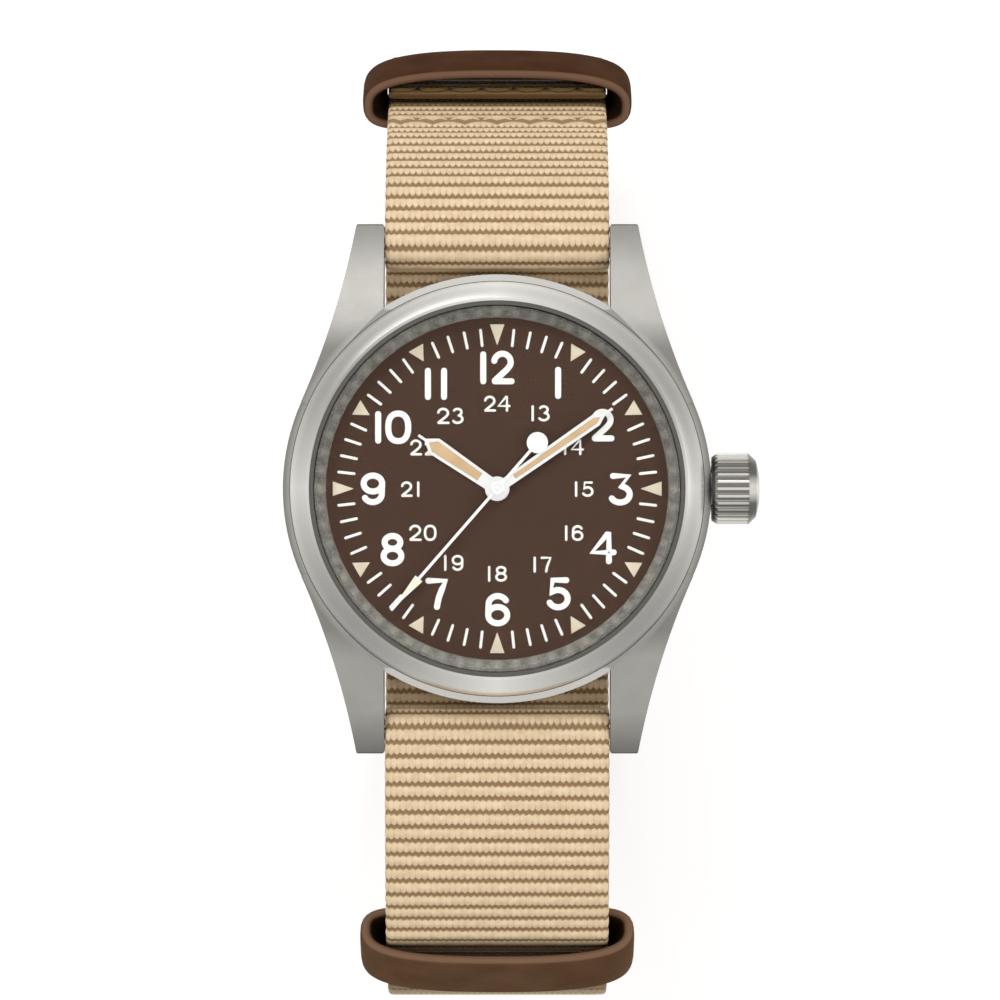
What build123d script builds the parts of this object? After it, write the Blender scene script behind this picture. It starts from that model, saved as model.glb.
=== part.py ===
from build123d import *
from math import atan2, cos, degrees, hypot, radians, sin, sqrt
import os

os.makedirs("parts", exist_ok=True)

# All lengths are in millimetres. The zero height is the plane that the closed strap rests on.
# Heights in the watch head are measured up from the outer face of the case back.
back_height = 54.0
overrun = 1.0
running_gap = 0.03
press_gap = 0.01

# Case
case_radius = 19.05
case_low = 0.9
case_high = 6.6
case_chamfer_width = 0.7
case_chamfer_height = 0.6
case_bore_gap = 0.1
back_flange_width = 1.8
back_recess_depth = 0.35
collar_bore_depth = 0.85
rehaut_seat_depth = 0.45
skirt_groove_inset = 0.4
skirt_groove_width = 0.6
skirt_groove_depth = 0.45
gasket_groove_inset = 0.15
gasket_groove_width = 0.5
gasket_groove_depth = 0.4

# Lugs
lug_gap = 20.2
lug_end_length = 1.9
lug_tip_width = 2.48
lug_tangent_angle = 24.0
lug_tip_high = 3.1
lug_tip_low = 0.2
lug_crest_start = 11.0
lug_belly_start = 12.0
lug_corner_radius = 0.2
lug_root_share = 0.9

# Case back and its gasket
back_side_gap = 0.05
back_thickness = 1.2
back_edge_chamfer = 0.35
back_floor = 0.75
collar_wall = 0.8
collar_height = 0.8
notch_count = 6
notch_length = 1.5
notch_width = 2.2
notch_depth = 0.35
notch_edge_distance = 2.8

# Bezel, crystal and the ring round the dial
bezel_width = 1.7
bezel_height = 2.2
bezel_wall_height = 0.9
bezel_lip_width = 0.25
bezel_crown = 0.18
bezel_skirt_depth = 0.4
skirt_clearance = 0.05
crystal_gasket_width = 0.4
crystal_thickness = 1.5
crystal_chamfer = 0.22
crystal_gasket_gap = 0.02
crystal_gasket_top = 8.85
rehaut_seat_inset = 0.25
rehaut_seat_gap = 0.05
rehaut_foot_width = 1.15
rehaut_lip_width = 0.3
rehaut_height = 1.55

# Dial and hands
dial_edge_width = 0.8
dial_thickness = 0.35
dial_hole_radius = 0.95
dial_foot_radius = 0.35
dial_foot_length = 1.1
dial_foot_places = ((-10.5, 3.5), (9.5, -6.5))
hour_angle = 304.2
minute_angle = 55.2
second_angle = 221.1
hand_gap = 0.2
hand_thickness = 0.15
hour_hub_radius = 1.09
hour_neck_half_width = 0.62
hour_shoulder_half_width = 0.8
hour_shoulder_reach = 6.75
hour_point_reach = 7.72
hour_tip_reach = 8.45
minute_hub_radius = 0.98
minute_neck_half_width = 0.46
minute_shoulder_half_width = 0.56
minute_shoulder_reach = 10.7
minute_point_reach = 11.55
minute_tip_reach = 12.45
spike_half_width = 0.12
frame_width = 0.26
frame_shoulder_share = 0.33
frame_point_share = 1.5
window_start = 1.85
second_hub_radius = 0.67
second_thickness = 0.1
second_half_width = 0.13
second_tip_reach = 14.3
second_arrow_start = 10.55
second_arrow_end = 12.95
second_arrow_half_width = 0.42
second_weight_reach = 5.42
second_weight_radius = 0.94

# Movement levels
movement_radius = 12.8
movement_low = 1.5
bridge_thickness = 0.85
plate_low = 4.35
plate_thickness = 0.9
dial_side_space = 0.55
ring_low_gap = 0.2
ring_gap = 0.05
ring_stem_half_width = 1.7
wheel_thickness = 0.15
wheel_gap = 0.12
arbor_radius = 0.2
pivot_radius = 0.1
jewel_radius = 0.5
jewel_bore_radius = 0.13
jewel_thickness = 0.35
tooth_addendum_share = 0.9
tooth_dedendum_share = 1.2
tooth_root_share = 0.3
tooth_tip_share = 0.1
window_count = 4
window_place_share = 0.56
window_size_share = 0.26

# Gear train
barrel_module = 0.13
barrel_teeth = 84
centre_pinion_leaves = 14
barrel_direction = 60.0
barrel_low = 2.7
barrel_height = 1.2
barrel_wall_gap_share = 0.94
barrel_tooth_offset = 0.4
barrel_tooth_height = 0.3
barrel_shell = 0.25
arbor_core_radius = 1.3
arbor_stem_radius = 0.55
mainspring_thickness = 0.1
mainspring_pitch = 0.45
mainspring_half_turns = 14
centre_module = 0.1
centre_teeth = 80
centre_wheel_low = 4.0
centre_pinion_low = 3.05
centre_pinion_height = 0.4
centre_pipe_radius = 0.3
centre_pipe_bore = 0.17
third_pinion_leaves = 10
third_teeth = 75
third_direction = 215.0
fourth_pinion_leaves = 10
fourth_arbor_radius = 0.13
fourth_module = 0.085
fourth_teeth = 96
escape_pinion_leaves = 8
escape_direction = 285.0
escape_teeth = 15
escape_radius = 2.3
escape_root_radius = 1.85
escape_hub_radius = 0.75
escape_lean_share = 0.35
escape_window_share = 0.33
escape_low = 3.35
pallet_place = (3.64, -5.18)
pallet_arm_width = 0.36
pallet_fork_reach = 2.3
pallet_fork_half_width = 0.34
pallet_notch_half_width = 0.14
pallet_span = 1.15
pallet_bridge_low = 2.95
pallet_bridge_thickness = 0.25
pallet_bridge_width = 1.2
pallet_bridge_foot = (2.3, -9.3)
balance_place = (6.55, -6.24)
balance_radius = 3.45
balance_rim_width = 0.45
balance_rim_thickness = 0.3
balance_low = 2.56
balance_arm_width = 0.5
roller_radius = 0.6
roller_low = 3.1
roller_thickness = 0.2
impulse_pin_radius = 0.08
impulse_pin_reach = 0.42
hairspring_thickness = 0.04
hairspring_height = 0.1
hairspring_start_radius = 0.45
hairspring_pitch = 0.14
hairspring_half_turns = 16
hairspring_gap = 0.04
regulator_radius = 1.15
regulator_thickness = 0.2
regulator_arm_width = 0.35
regulator_arm_reach = 3.0
regulator_direction = 25.0

# Winding work
ratchet_module = 0.19
ratchet_teeth = 36
crown_wheel_teeth = 30
winding_wheel_low = 1.6
winding_wheel_thickness = 0.3
winding_recess_depth = 0.55
winding_recess_gap = 0.25
wheel_screw_radius = 0.9
stem_height = 3.55
stem_radius = 0.6
stem_pilot_radius = 0.25
stem_pilot_start = 5.3
stem_square_start = 6.5
stem_square_side = 0.84
stem_square_end = 8.95
stem_groove_place = 11.0
stem_groove_width = 0.5
stem_groove_radius = 0.35
crown_travel = 0.65
clutch_start = 7.2
clutch_length = 1.7
clutch_radius = 1.1
clutch_ring_radius = 1.14
clutch_ring_length = 0.25
clutch_groove_place = 8.1
clutch_groove_width = 0.5
clutch_groove_radius = 0.85
clutch_square_side = 0.9
winding_pinion_start = 9.0
winding_pinion_length = 0.75
winding_pinion_teeth = 18
winding_pinion_radius = 1.78
winding_pinion_root_radius = 1.5
pilot_block_start = 6.05
pilot_block_length = 0.4
pilot_block_half_width = 0.9
pilot_block_low = 3.0
stem_block_start = 10.2
stem_block_end = 12.3
stem_block_half_width = 2.1
stem_block_low = 2.82
lever_place = (11.0, 2.9)
lever_low = 2.5
lever_thickness = 0.2
lever_width = 1.0
lever_pin_radius = 0.18
lever_pin_gap = 0.05
lever_stud_radius = 0.4
yoke_place = (10.2, -3.0)
yoke_low = 2.45
yoke_width = 0.7
yoke_finger_width = 0.32
yoke_finger_reach = 0.2
yoke_elbow_drop = 1.5
click_direction = 120.0
click_distance = 4.75
click_boss_radius = 0.6
click_beak_direction = 104.0
click_beak_gap = 0.04
click_beak_width = 0.3
click_spring_width = 0.14
click_spring_length = 3.4

# Motion work
motion_module = 0.14
cannon_leaves = 12
minute_wheel_teeth = 36
minute_wheel_direction = -32.75
minute_pinion_leaves = 10
hour_wheel_teeth = 40
motion_low = 5.3
cannon_pipe_radius = 0.45
hour_pipe_radius = 0.7
pipe_gap = 0.04
hour_wheel_low = 5.5
setting_teeth = 16
setting_low = 4.7
setting_stud_radius = 0.35
setting_floor = 0.27
setting_window_start = 6.45
setting_window_end = 9.9

# Bridge feet and screws
barrel_bridge_edge = 1.7
train_bridge_edge = 1.4
train_bridge_side = 2.2
bridge_inset = 0.2
crown_wheel_cover_radius = 3.45
barrel_bridge_feet = ((-6.5, 6.0, 1.4), (10.2, 4.7, 1.0), (-1.5, 11.2, 1.0))
train_bridge_feet = ((-9.6, -3.0, 1.2), (-2.0, -10.0, 1.2))
cock_foot = (3.9, -10.9, 1.0)
cock_width = 2.4
cock_end_radius = 1.3
screw_head_radius = 0.55
screw_head_height = 0.25
screw_shank_radius = 0.3
screw_gap = 0.03
screw_bite = 0.4

# Crown, tube and gasket
crown_case_gap = 0.08
crown_taper_length = 0.48
crown_flute_length = 2.8
crown_chamfer_length = 0.66
crown_dome_height = 0.36
crown_radius = 3.17
crown_inner_radius = 2.85
crown_end_radius = 2.53
crown_flutes = 30
crown_flute_radius = 0.21
crown_flute_rise_share = 0.12
crown_recess_radius = 2.0
crown_thread_length = 0.8
tube_inset = 0.1
tube_length = 5.1
tube_radius = 1.45
tube_bore_radius = 0.75
crown_gasket_inset = 0.22
crown_gasket_length = 0.6

# Spring bars
bar_standoff = 2.7
bar_level = 1.9
bar_radius = 0.8
bar_tube_gap = 0.8
bar_tube_bore = 0.55
bar_crimp_bore = 0.43
bar_crimp_length = 0.5
plunger_radius = 0.5
plunger_length = 2.3
plunger_tip_radius = 0.4
plunger_hole_radius = 0.43
plunger_travel = 0.9
plunger_seat = 0.85
bar_spring_radius = 0.4
bar_spring_bore = 0.2

# Strap. Its corners on each side of the watch are listed outwards from the spring bar:
# distance from the bar's axis, height above the case back's outer face, radius.
strap_width = 20.0
strap_thickness = 1.15
layer_gap = 0.3
bar_gap = 0.15
back_gap = 0.325
buckle_side_slope = 30.0
tail_side_slope = 4.0
buckle_side_corners = ((5.55, 0.455, 6.0), (9.85, -5.43, 9.0), (17.25, -22.9, 26.0), (17.85, -36.0, 24.0))
tail_side_corners = (
    (8.25, 2.85, 14.0),
    (14.45, 1.2, 7.0),
    (18.35, -1.3, 1.6),
    (24.15, -11.0, 9.0),
    (24.15, -26.0, 26.0),
    (17.25, -44.5, 20.0),
)
base_corners = ((31.0, 17.0), (24.0, 16.0))
under_corner_radius = 1.2
under_bend_radius = 1.6
under_start_drop = 6.0
fold_back_length = 12.0
fold_rise_start = 4.0
fold_rise_end = 1.2
small_bend_radius = 2.0

# Keepers
keeper_width = 6.0
keeper_leather = 1.1
keeper_side_gap = 1.3
keeper_gap = 0.25
keeper_far_radius = 2.3
keeper_near_radius = 2.9
keeper_bulge = 0.9
keeper_edge_radius = 0.3
keeper_layers = 2
top_keeper_drop = 10.8
bottom_keeper_drop = 3.6
under_end_length = 1.0
tail_end_inset = 0.7

# Buckle
buckle_bar_place = 3.5
buckle_bar_radius = 0.9
buckle_arm_thickness = 1.4
buckle_eye_wall = 0.7
buckle_side_gap = 0.9
crossbar_radius = 1.1
crossbar_reach = 8.5
crossbar_gap = 0.2
crossbar_slope_end = 2.7
crossbar_slope_start = 6.5
tongue_width = 1.2
tongue_thickness = 0.9
tongue_loop_wall = 0.65
tongue_bend_reach = 7.1
tongue_tip_reach = 9.8
tongue_level = 0.55
tongue_bend_radius = 3.0
tongue_side_gap = 0.3
hole_length = 3.8
hole_width = 2.0
hole_spacing = 6.5
holes_towards_tail = 2
holes_towards_loop = 2


def head(height):
    return back_height + height


def level(place, height):
    return Plane(origin=(place[0], place[1], head(height)))


def polar(distance, direction):
    return (distance * cos(radians(direction)), distance * sin(radians(direction)))


def beyond(place, distance, direction):
    step = polar(distance, direction)
    return (place[0] + step[0], place[1] + step[1])


# A closed outline on the XZ plane, to be turned round a vertical or a lengthwise axis
def lathe_face(points):
    with BuildSketch(Plane.XZ) as outline:
        with BuildLine():
            Polyline(*points, close=True)
        make_face()
    return outline.sketch


# Points of a round part's section: radii with heights above the case back
def upright(points):
    return [(radius, head(height)) for radius, height in points]


# Points of a section along the winding stem: places along it with radii
def along_stem(points):
    return [(place, head(stem_height) + radius) for place, radius in points]


stem_axis = Axis((0, 0, head(stem_height)), (1, 0, 0))


def column(place, low, high, radius, mode=Mode.ADD):
    with Locations((place[0], place[1], head(low))):
        Cylinder(radius, high - low, align=(Align.CENTER, Align.CENTER, Align.MIN), mode=mode)


def ring(place, low, high, outer, inner):
    column(place, low, high, outer)
    column(place, low - overrun, high + overrun, inner, Mode.SUBTRACT)


# The outline of a toothed wheel whose first tooth stands at the angle turn
def tooth_points(teeth, module, turn):
    pitch_radius = teeth * module / 2
    root_radius = pitch_radius - tooth_dedendum_share * module
    tip_radius = pitch_radius + tooth_addendum_share * module
    step = 360 / teeth
    corners = (
        (root_radius, -tooth_root_share),
        (tip_radius, -tooth_tip_share),
        (tip_radius, tooth_tip_share),
        (root_radius, tooth_root_share),
    )
    return [
        polar(radius, turn + (tooth + share) * step) for tooth in range(teeth) for radius, share in corners
    ]


def toothed_face(plane, teeth, module, turn=0.0, windows=0):
    pitch_radius = teeth * module / 2
    with BuildSketch(plane) as outline:
        with BuildLine():
            Polyline(*tooth_points(teeth, module, turn), close=True)
        make_face()
        if windows:
            with PolarLocations(window_place_share * pitch_radius, windows, 360 / windows / 2):
                Circle(window_size_share * pitch_radius, mode=Mode.SUBTRACT)
    return outline.sketch


# The turn that puts a wheel's teeth in the gaps of the wheel it meshes with,
# which lies the other way along direction and whose first tooth stands at other_turn
def meshing_turn(teeth, other_teeth, other_turn, direction):
    return direction + 180 + (direction - other_turn) * other_teeth / teeth + 180 / teeth


# Radii and reaches that follow from the case's radius
bezel_outer_radius = case_radius - case_chamfer_width
bezel_inner_radius = bezel_outer_radius - bezel_width
crystal_radius = bezel_inner_radius - crystal_gasket_width
rehaut_seat_radius = bezel_inner_radius - rehaut_seat_inset
rehaut_outer_radius = rehaut_seat_radius - rehaut_seat_gap
rehaut_inner_low_radius = rehaut_outer_radius - rehaut_foot_width
rehaut_inner_high_radius = rehaut_outer_radius - rehaut_lip_width
dial_radius = rehaut_seat_radius - dial_edge_width
case_bore_radius = dial_radius + case_bore_gap
ring_outer_radius = case_bore_radius - case_bore_gap
ring_inner_radius = movement_radius + ring_gap
bridge_radius = movement_radius - bridge_inset
skirt_groove_outer_radius = bezel_outer_radius - skirt_groove_inset
skirt_groove_inner_radius = skirt_groove_outer_radius - skirt_groove_width
back_recess_radius = case_radius - back_flange_width
back_radius = back_recess_radius - back_side_gap
gasket_groove_outer_radius = back_recess_radius - gasket_groove_inset
gasket_groove_inner_radius = gasket_groove_outer_radius - gasket_groove_width
collar_bore_radius = back_recess_radius - collar_wall
collar_radius = collar_bore_radius - back_side_gap
collar_inner_radius = collar_radius - collar_wall
notch_circle_radius = back_radius - notch_edge_distance
bar_reach = case_radius + bar_standoff
lug_reach = bar_reach + lug_end_length
lug_tip_half_width = lug_gap / 2 + lug_tip_width
bar_tube_length = lug_gap - 2 * bar_tube_gap
crown_start = case_radius + crown_case_gap
tube_start = case_bore_radius + tube_inset
tube_end = tube_start + tube_length
crown_gasket_start = crown_start + crown_gasket_inset

# Levels that follow from the sizes above
bridge_high = movement_low + bridge_thickness
plate_high = plate_low + plate_thickness
dial_low = plate_high + dial_side_space
dial_high = dial_low + dial_thickness
rehaut_high = dial_high + rehaut_height
crystal_high = rehaut_high + crystal_thickness
bezel_high = case_high + bezel_height
fourth_wheel_low = bridge_high + wheel_gap / 2
third_wheel_low = fourth_wheel_low + wheel_thickness + wheel_gap
hour_hand_low = dial_high + hand_gap
minute_hand_low = hour_hand_low + hand_thickness + hand_gap
second_hand_low = minute_hand_low + hand_thickness + hand_gap

# Places of the wheels
centre_place = (0.0, 0.0)
barrel_distance = barrel_module * (barrel_teeth + centre_pinion_leaves) / 2
barrel_place = polar(barrel_distance, barrel_direction)
barrel_root_radius = barrel_module * (barrel_teeth / 2 - tooth_dedendum_share)
barrel_outer_radius = barrel_root_radius * barrel_wall_gap_share
third_distance = centre_module * (centre_teeth + third_pinion_leaves) / 2
third_place = polar(third_distance, third_direction)
third_module = 2 * third_distance / (third_teeth + fourth_pinion_leaves)
escape_distance = fourth_module * (fourth_teeth + escape_pinion_leaves) / 2
escape_place = polar(escape_distance, escape_direction)
ratchet_distance = ratchet_module * (ratchet_teeth + crown_wheel_teeth) / 2
crown_wheel_place = (barrel_place[0] + sqrt(ratchet_distance**2 - barrel_place[1] ** 2), 0.0)
ratchet_radius = ratchet_module * (ratchet_teeth / 2 + tooth_addendum_share)
crown_wheel_radius = ratchet_module * (crown_wheel_teeth / 2 + tooth_addendum_share)
minute_wheel_distance = motion_module * (cannon_leaves + minute_wheel_teeth) / 2
minute_wheel_place = polar(minute_wheel_distance, minute_wheel_direction)
hour_module = 2 * minute_wheel_distance / (minute_pinion_leaves + hour_wheel_teeth)
setting_distance = motion_module * (minute_wheel_teeth + setting_teeth) / 2
setting_place = (
    minute_wheel_place[0] + sqrt(setting_distance**2 - minute_wheel_place[1] ** 2),
    0.0,
)
setting_radius = motion_module * (setting_teeth / 2 + tooth_addendum_share)
clutch_end = clutch_start + clutch_length
winding_pinion_end = winding_pinion_start + winding_pinion_length

# Mid case: a turned body with four lugs, bored from the back
with BuildPart() as lugs:
    tangent_point = polar(case_radius, lug_tangent_angle)
    root_point = polar(lug_root_share * case_radius, lug_tangent_angle)
    lug_root_reach = sqrt((lug_root_share * case_radius) ** 2 - (lug_gap / 2) ** 2)
    with BuildSketch(Plane.XY.offset(head(0.0))) as lug_plan:
        with BuildLine():
            flank = TangentArc(
                tangent_point,
                (lug_tip_half_width, lug_reach),
                tangent=(-sin(radians(lug_tangent_angle)), cos(radians(lug_tangent_angle))),
            )
            Polyline(
                flank @ 1,
                (lug_gap / 2, lug_reach),
                (lug_gap / 2, lug_root_reach),
                root_point,
                flank @ 0,
            )
        make_face()
        fillet(lug_plan.vertices().sort_by(Axis.Y)[-2:], radius=lug_corner_radius)
    extrude(amount=case_high)
    with BuildSketch(Plane.YZ):
        with BuildLine():
            crest = TangentArc(
                (lug_crest_start, head(case_high)), (lug_reach, head(lug_tip_high)), tangent=(1, 0)
            )
            Polyline(
                crest @ 1,
                (lug_reach, head(lug_tip_low)),
                (lug_belly_start, head(case_low)),
                (0.0, head(case_low)),
                (0.0, head(case_high)),
                crest @ 0,
            )
        make_face()
    extrude(amount=case_radius, both=True, mode=Mode.INTERSECT)
    mirror(about=Plane.XZ)
    mirror(about=Plane.YZ)

with BuildPart() as mid_case:
    body_face = lathe_face(
        upright(
            (
                (0.0, case_low),
                (case_radius, case_low),
                (case_radius, case_high - case_chamfer_height),
                (case_radius - case_chamfer_width, case_high),
                (0.0, case_high),
            )
        )
    )
    revolve(body_face, axis=Axis.Z)
    add(lugs.part)
    back_recess_high = case_low + back_recess_depth
    column(centre_place, -overrun, back_recess_high, back_recess_radius, Mode.SUBTRACT)
    column(centre_place, 0.0, back_recess_high + collar_bore_depth, collar_bore_radius, Mode.SUBTRACT)
    column(centre_place, 0.0, case_high + overrun, case_bore_radius, Mode.SUBTRACT)
    rehaut_seat = case_high - rehaut_seat_depth
    column(centre_place, rehaut_seat, case_high + overrun, rehaut_seat_radius, Mode.SUBTRACT)
    with BuildSketch(Plane.XY.offset(head(back_recess_high))):
        Circle(gasket_groove_outer_radius)
        Circle(gasket_groove_inner_radius, mode=Mode.SUBTRACT)
    extrude(amount=gasket_groove_depth, mode=Mode.SUBTRACT)
    with BuildSketch(Plane.XY.offset(head(case_high))):
        Circle(skirt_groove_outer_radius)
        Circle(skirt_groove_inner_radius, mode=Mode.SUBTRACT)
    extrude(amount=-skirt_groove_depth, mode=Mode.SUBTRACT)
    with BuildSketch(Plane.YZ.offset(case_bore_radius - overrun)):
        with Locations((0.0, head(stem_height))):
            Circle(tube_radius + press_gap)
    extrude(amount=case_radius, mode=Mode.SUBTRACT)
    with BuildSketch(Plane.YZ.offset(-lug_gap / 2 - plunger_seat - plunger_travel / 2)):
        with Locations((bar_reach, head(bar_level)), (-bar_reach, head(bar_level))):
            Circle(plunger_hole_radius)
    extrude(amount=lug_gap + 2 * plunger_seat + plunger_travel, mode=Mode.SUBTRACT)
mid_case.part.label = "mid_case"
export_step(mid_case.part, "parts/mid_case.step")

with BuildPart() as case_back:
    revolve(
        lathe_face(
            upright(
                (
                    (0.0, 0.0),
                    (back_radius - back_edge_chamfer, 0.0),
                    (back_radius, back_edge_chamfer),
                    (back_radius, back_thickness),
                    (collar_radius, back_thickness),
                    (collar_radius, back_thickness + collar_height),
                    (collar_inner_radius, back_thickness + collar_height),
                    (collar_inner_radius, back_floor),
                    (0.0, back_floor),
                )
            )
        ),
        axis=Axis.Z,
    )
    with BuildSketch(Plane.XY.offset(head(0.0))):
        with PolarLocations(notch_circle_radius, notch_count):
            Rectangle(notch_length, notch_width)
    extrude(amount=notch_depth, mode=Mode.SUBTRACT)
case_back.part.label = "case_back"
export_step(case_back.part, "parts/case_back.step")

with BuildPart() as case_back_gasket:
    ring(
        centre_place,
        back_thickness,
        case_low + back_recess_depth + gasket_groove_depth - press_gap,
        gasket_groove_outer_radius - press_gap,
        gasket_groove_inner_radius + press_gap,
    )
case_back_gasket.part.label = "case_back_gasket"
export_step(case_back_gasket.part, "parts/case_back_gasket.step")

with BuildPart() as bezel:
    bezel_wall_high = case_high + bezel_wall_height
    with BuildSketch(Plane.XZ):
        with BuildLine():
            slope = Line(
                (bezel_outer_radius, head(bezel_wall_high)),
                (bezel_inner_radius + bezel_lip_width, head(bezel_high)),
                mode=Mode.PRIVATE,
            )
            crest = SagittaArc(slope @ 0, slope @ 1, -bezel_crown)
            Polyline(
                crest @ 1,
                *upright(
                    (
                        (bezel_inner_radius, bezel_high),
                        (bezel_inner_radius, case_high),
                        (skirt_groove_inner_radius + skirt_clearance, case_high),
                        (skirt_groove_inner_radius + skirt_clearance, case_high - bezel_skirt_depth),
                        (skirt_groove_outer_radius - skirt_clearance, case_high - bezel_skirt_depth),
                        (skirt_groove_outer_radius - skirt_clearance, case_high),
                        (bezel_outer_radius, case_high),
                    )
                ),
                crest @ 0,
            )
        make_face()
    revolve(axis=Axis.Z)
bezel.part.label = "bezel"
export_step(bezel.part, "parts/bezel.step")

with BuildPart() as crystal:
    column(centre_place, rehaut_high, crystal_high, crystal_radius)
    chamfer(crystal.faces().sort_by(Axis.Z)[-1].edges(), length=crystal_chamfer)
crystal.part.label = "crystal"
export_step(crystal.part, "parts/crystal.step")

with BuildPart() as crystal_gasket:
    ring(
        centre_place,
        rehaut_high,
        crystal_gasket_top,
        bezel_inner_radius - crystal_gasket_gap,
        crystal_radius + crystal_gasket_gap,
    )
crystal_gasket.part.label = "crystal_gasket"
export_step(crystal_gasket.part, "parts/crystal_gasket.step")

with BuildPart() as rehaut_ring:
    revolve(
        lathe_face(
            upright(
                (
                    (rehaut_inner_low_radius, dial_high),
                    (rehaut_outer_radius, dial_high),
                    (rehaut_outer_radius, rehaut_high),
                    (rehaut_inner_high_radius, rehaut_high),
                )
            )
        ),
        axis=Axis.Z,
    )
rehaut_ring.part.label = "rehaut_ring"
export_step(rehaut_ring.part, "parts/rehaut_ring.step")

with BuildPart() as movement_ring:
    ring_low = back_thickness + collar_height + ring_low_gap
    ring(centre_place, ring_low, dial_low, ring_outer_radius, ring_inner_radius)
    with BuildSketch(Plane.YZ.offset(ring_inner_radius - overrun)):
        with Locations((0.0, head(stem_height))):
            Circle(ring_stem_half_width / 2)
    extrude(amount=ring_outer_radius, mode=Mode.SUBTRACT)
movement_ring.part.label = "movement_ring"
export_step(movement_ring.part, "parts/movement_ring.step")

# Crown, its tube and gasket, and the winding stem, all turned about the stem's axis
with BuildPart() as crown_tube:
    tube_face = lathe_face(
        along_stem(
            (
                (tube_start, tube_bore_radius),
                (tube_end, tube_bore_radius),
                (tube_end, tube_radius),
                (tube_start, tube_radius),
            )
        )
    )
    revolve(tube_face, axis=stem_axis)
crown_tube.part.label = "crown_tube"
export_step(crown_tube.part, "parts/crown_tube.step")

crown_flute_start = crown_start + crown_taper_length
crown_flute_end = crown_flute_start + crown_flute_length
crown_chamfer_end = crown_flute_end + crown_chamfer_length
with BuildPart() as crown:
    with BuildSketch(Plane.XZ):
        with BuildLine():
            dome = RadiusArc(
                (crown_chamfer_end, head(stem_height) + crown_end_radius),
                (crown_chamfer_end + crown_dome_height, head(stem_height)),
                (crown_end_radius**2 + crown_dome_height**2) / (2 * crown_dome_height),
            )
            Polyline(
                dome @ 1,
                *along_stem(
                    (
                        (crown_start, 0.0),
                        (crown_start, crown_inner_radius),
                        (crown_flute_start, crown_radius),
                        (crown_flute_end, crown_radius),
                    )
                ),
                dome @ 0,
            )
        make_face()
    revolve(axis=stem_axis)
    with BuildSketch(Plane.YZ.offset(crown_start - overrun)):
        with Locations((0.0, head(stem_height))):
            with PolarLocations(crown_radius + crown_flute_rise_share * crown_flute_radius, crown_flutes):
                Circle(crown_flute_radius)
    extrude(amount=overrun + crown_taper_length + crown_flute_length, mode=Mode.SUBTRACT)
    recess_face = lathe_face(
        along_stem(
            (
                (crown_start - overrun, 0.0),
                (crown_start - overrun, crown_recess_radius),
                (tube_end + crown_gasket_length / 2, crown_recess_radius),
                (tube_end + crown_gasket_length / 2, stem_radius),
                (tube_end + crown_gasket_length / 2 + crown_thread_length, stem_radius),
                (tube_end + crown_gasket_length / 2 + crown_thread_length, 0.0),
            )
        )
    )
    revolve(recess_face, axis=stem_axis, mode=Mode.SUBTRACT)
crown.part.label = "crown"
export_step(crown.part, "parts/crown.step")

with BuildPart() as crown_gasket:
    gasket_face = lathe_face(
        along_stem(
            (
                (crown_gasket_start, tube_radius + running_gap),
                (crown_gasket_start + crown_gasket_length, tube_radius + running_gap),
                (crown_gasket_start + crown_gasket_length, crown_recess_radius - running_gap),
                (crown_gasket_start, crown_recess_radius - running_gap),
            )
        )
    )
    revolve(gasket_face, axis=stem_axis)
crown_gasket.part.label = "crown_gasket"
export_step(crown_gasket.part, "parts/crown_gasket.step")

with BuildPart() as winding_stem:
    groove_start = stem_groove_place - stem_groove_width / 2
    groove_end = stem_groove_place + stem_groove_width / 2
    stem_tip = tube_end + crown_gasket_length / 2 + crown_thread_length
    round_face = lathe_face(
        along_stem(
            (
                (stem_pilot_start, 0.0),
                (stem_pilot_start, stem_pilot_radius),
                (stem_square_end, stem_pilot_radius),
                (stem_square_end, stem_radius),
                (groove_start, stem_radius),
                (groove_start, stem_groove_radius),
                (groove_end, stem_groove_radius),
                (groove_end, stem_radius),
                (stem_tip, stem_radius),
                (stem_tip, 0.0),
            )
        )
    )
    revolve(round_face, axis=stem_axis)
    with BuildSketch(Plane.YZ.offset(stem_square_start)):
        with Locations((0.0, head(stem_height))):
            Rectangle(stem_square_side, stem_square_side)
    extrude(amount=stem_square_end - stem_square_start)
winding_stem.part.label = "winding_stem"
export_step(winding_stem.part, "parts/winding_stem.step")

# Dial with two feet that locate it on the main plate
with BuildPart() as dial:
    column(centre_place, dial_low, dial_high, dial_radius)
    column(centre_place, dial_low - overrun, dial_high + overrun, dial_hole_radius, Mode.SUBTRACT)
    for foot_place in dial_foot_places:
        column(foot_place, dial_low - dial_foot_length, dial_low, dial_foot_radius)
dial.part.label = "dial"
export_step(dial.part, "parts/dial.step")


# A hand's plane: its own X axis points along the hand, whose angle counts clockwise from 12
def hand_plane(angle, height):
    return Plane(
        origin=(0, 0, head(height)), x_dir=(sin(radians(angle)), cos(radians(angle)), 0), z_dir=(0, 0, 1)
    )


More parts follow.
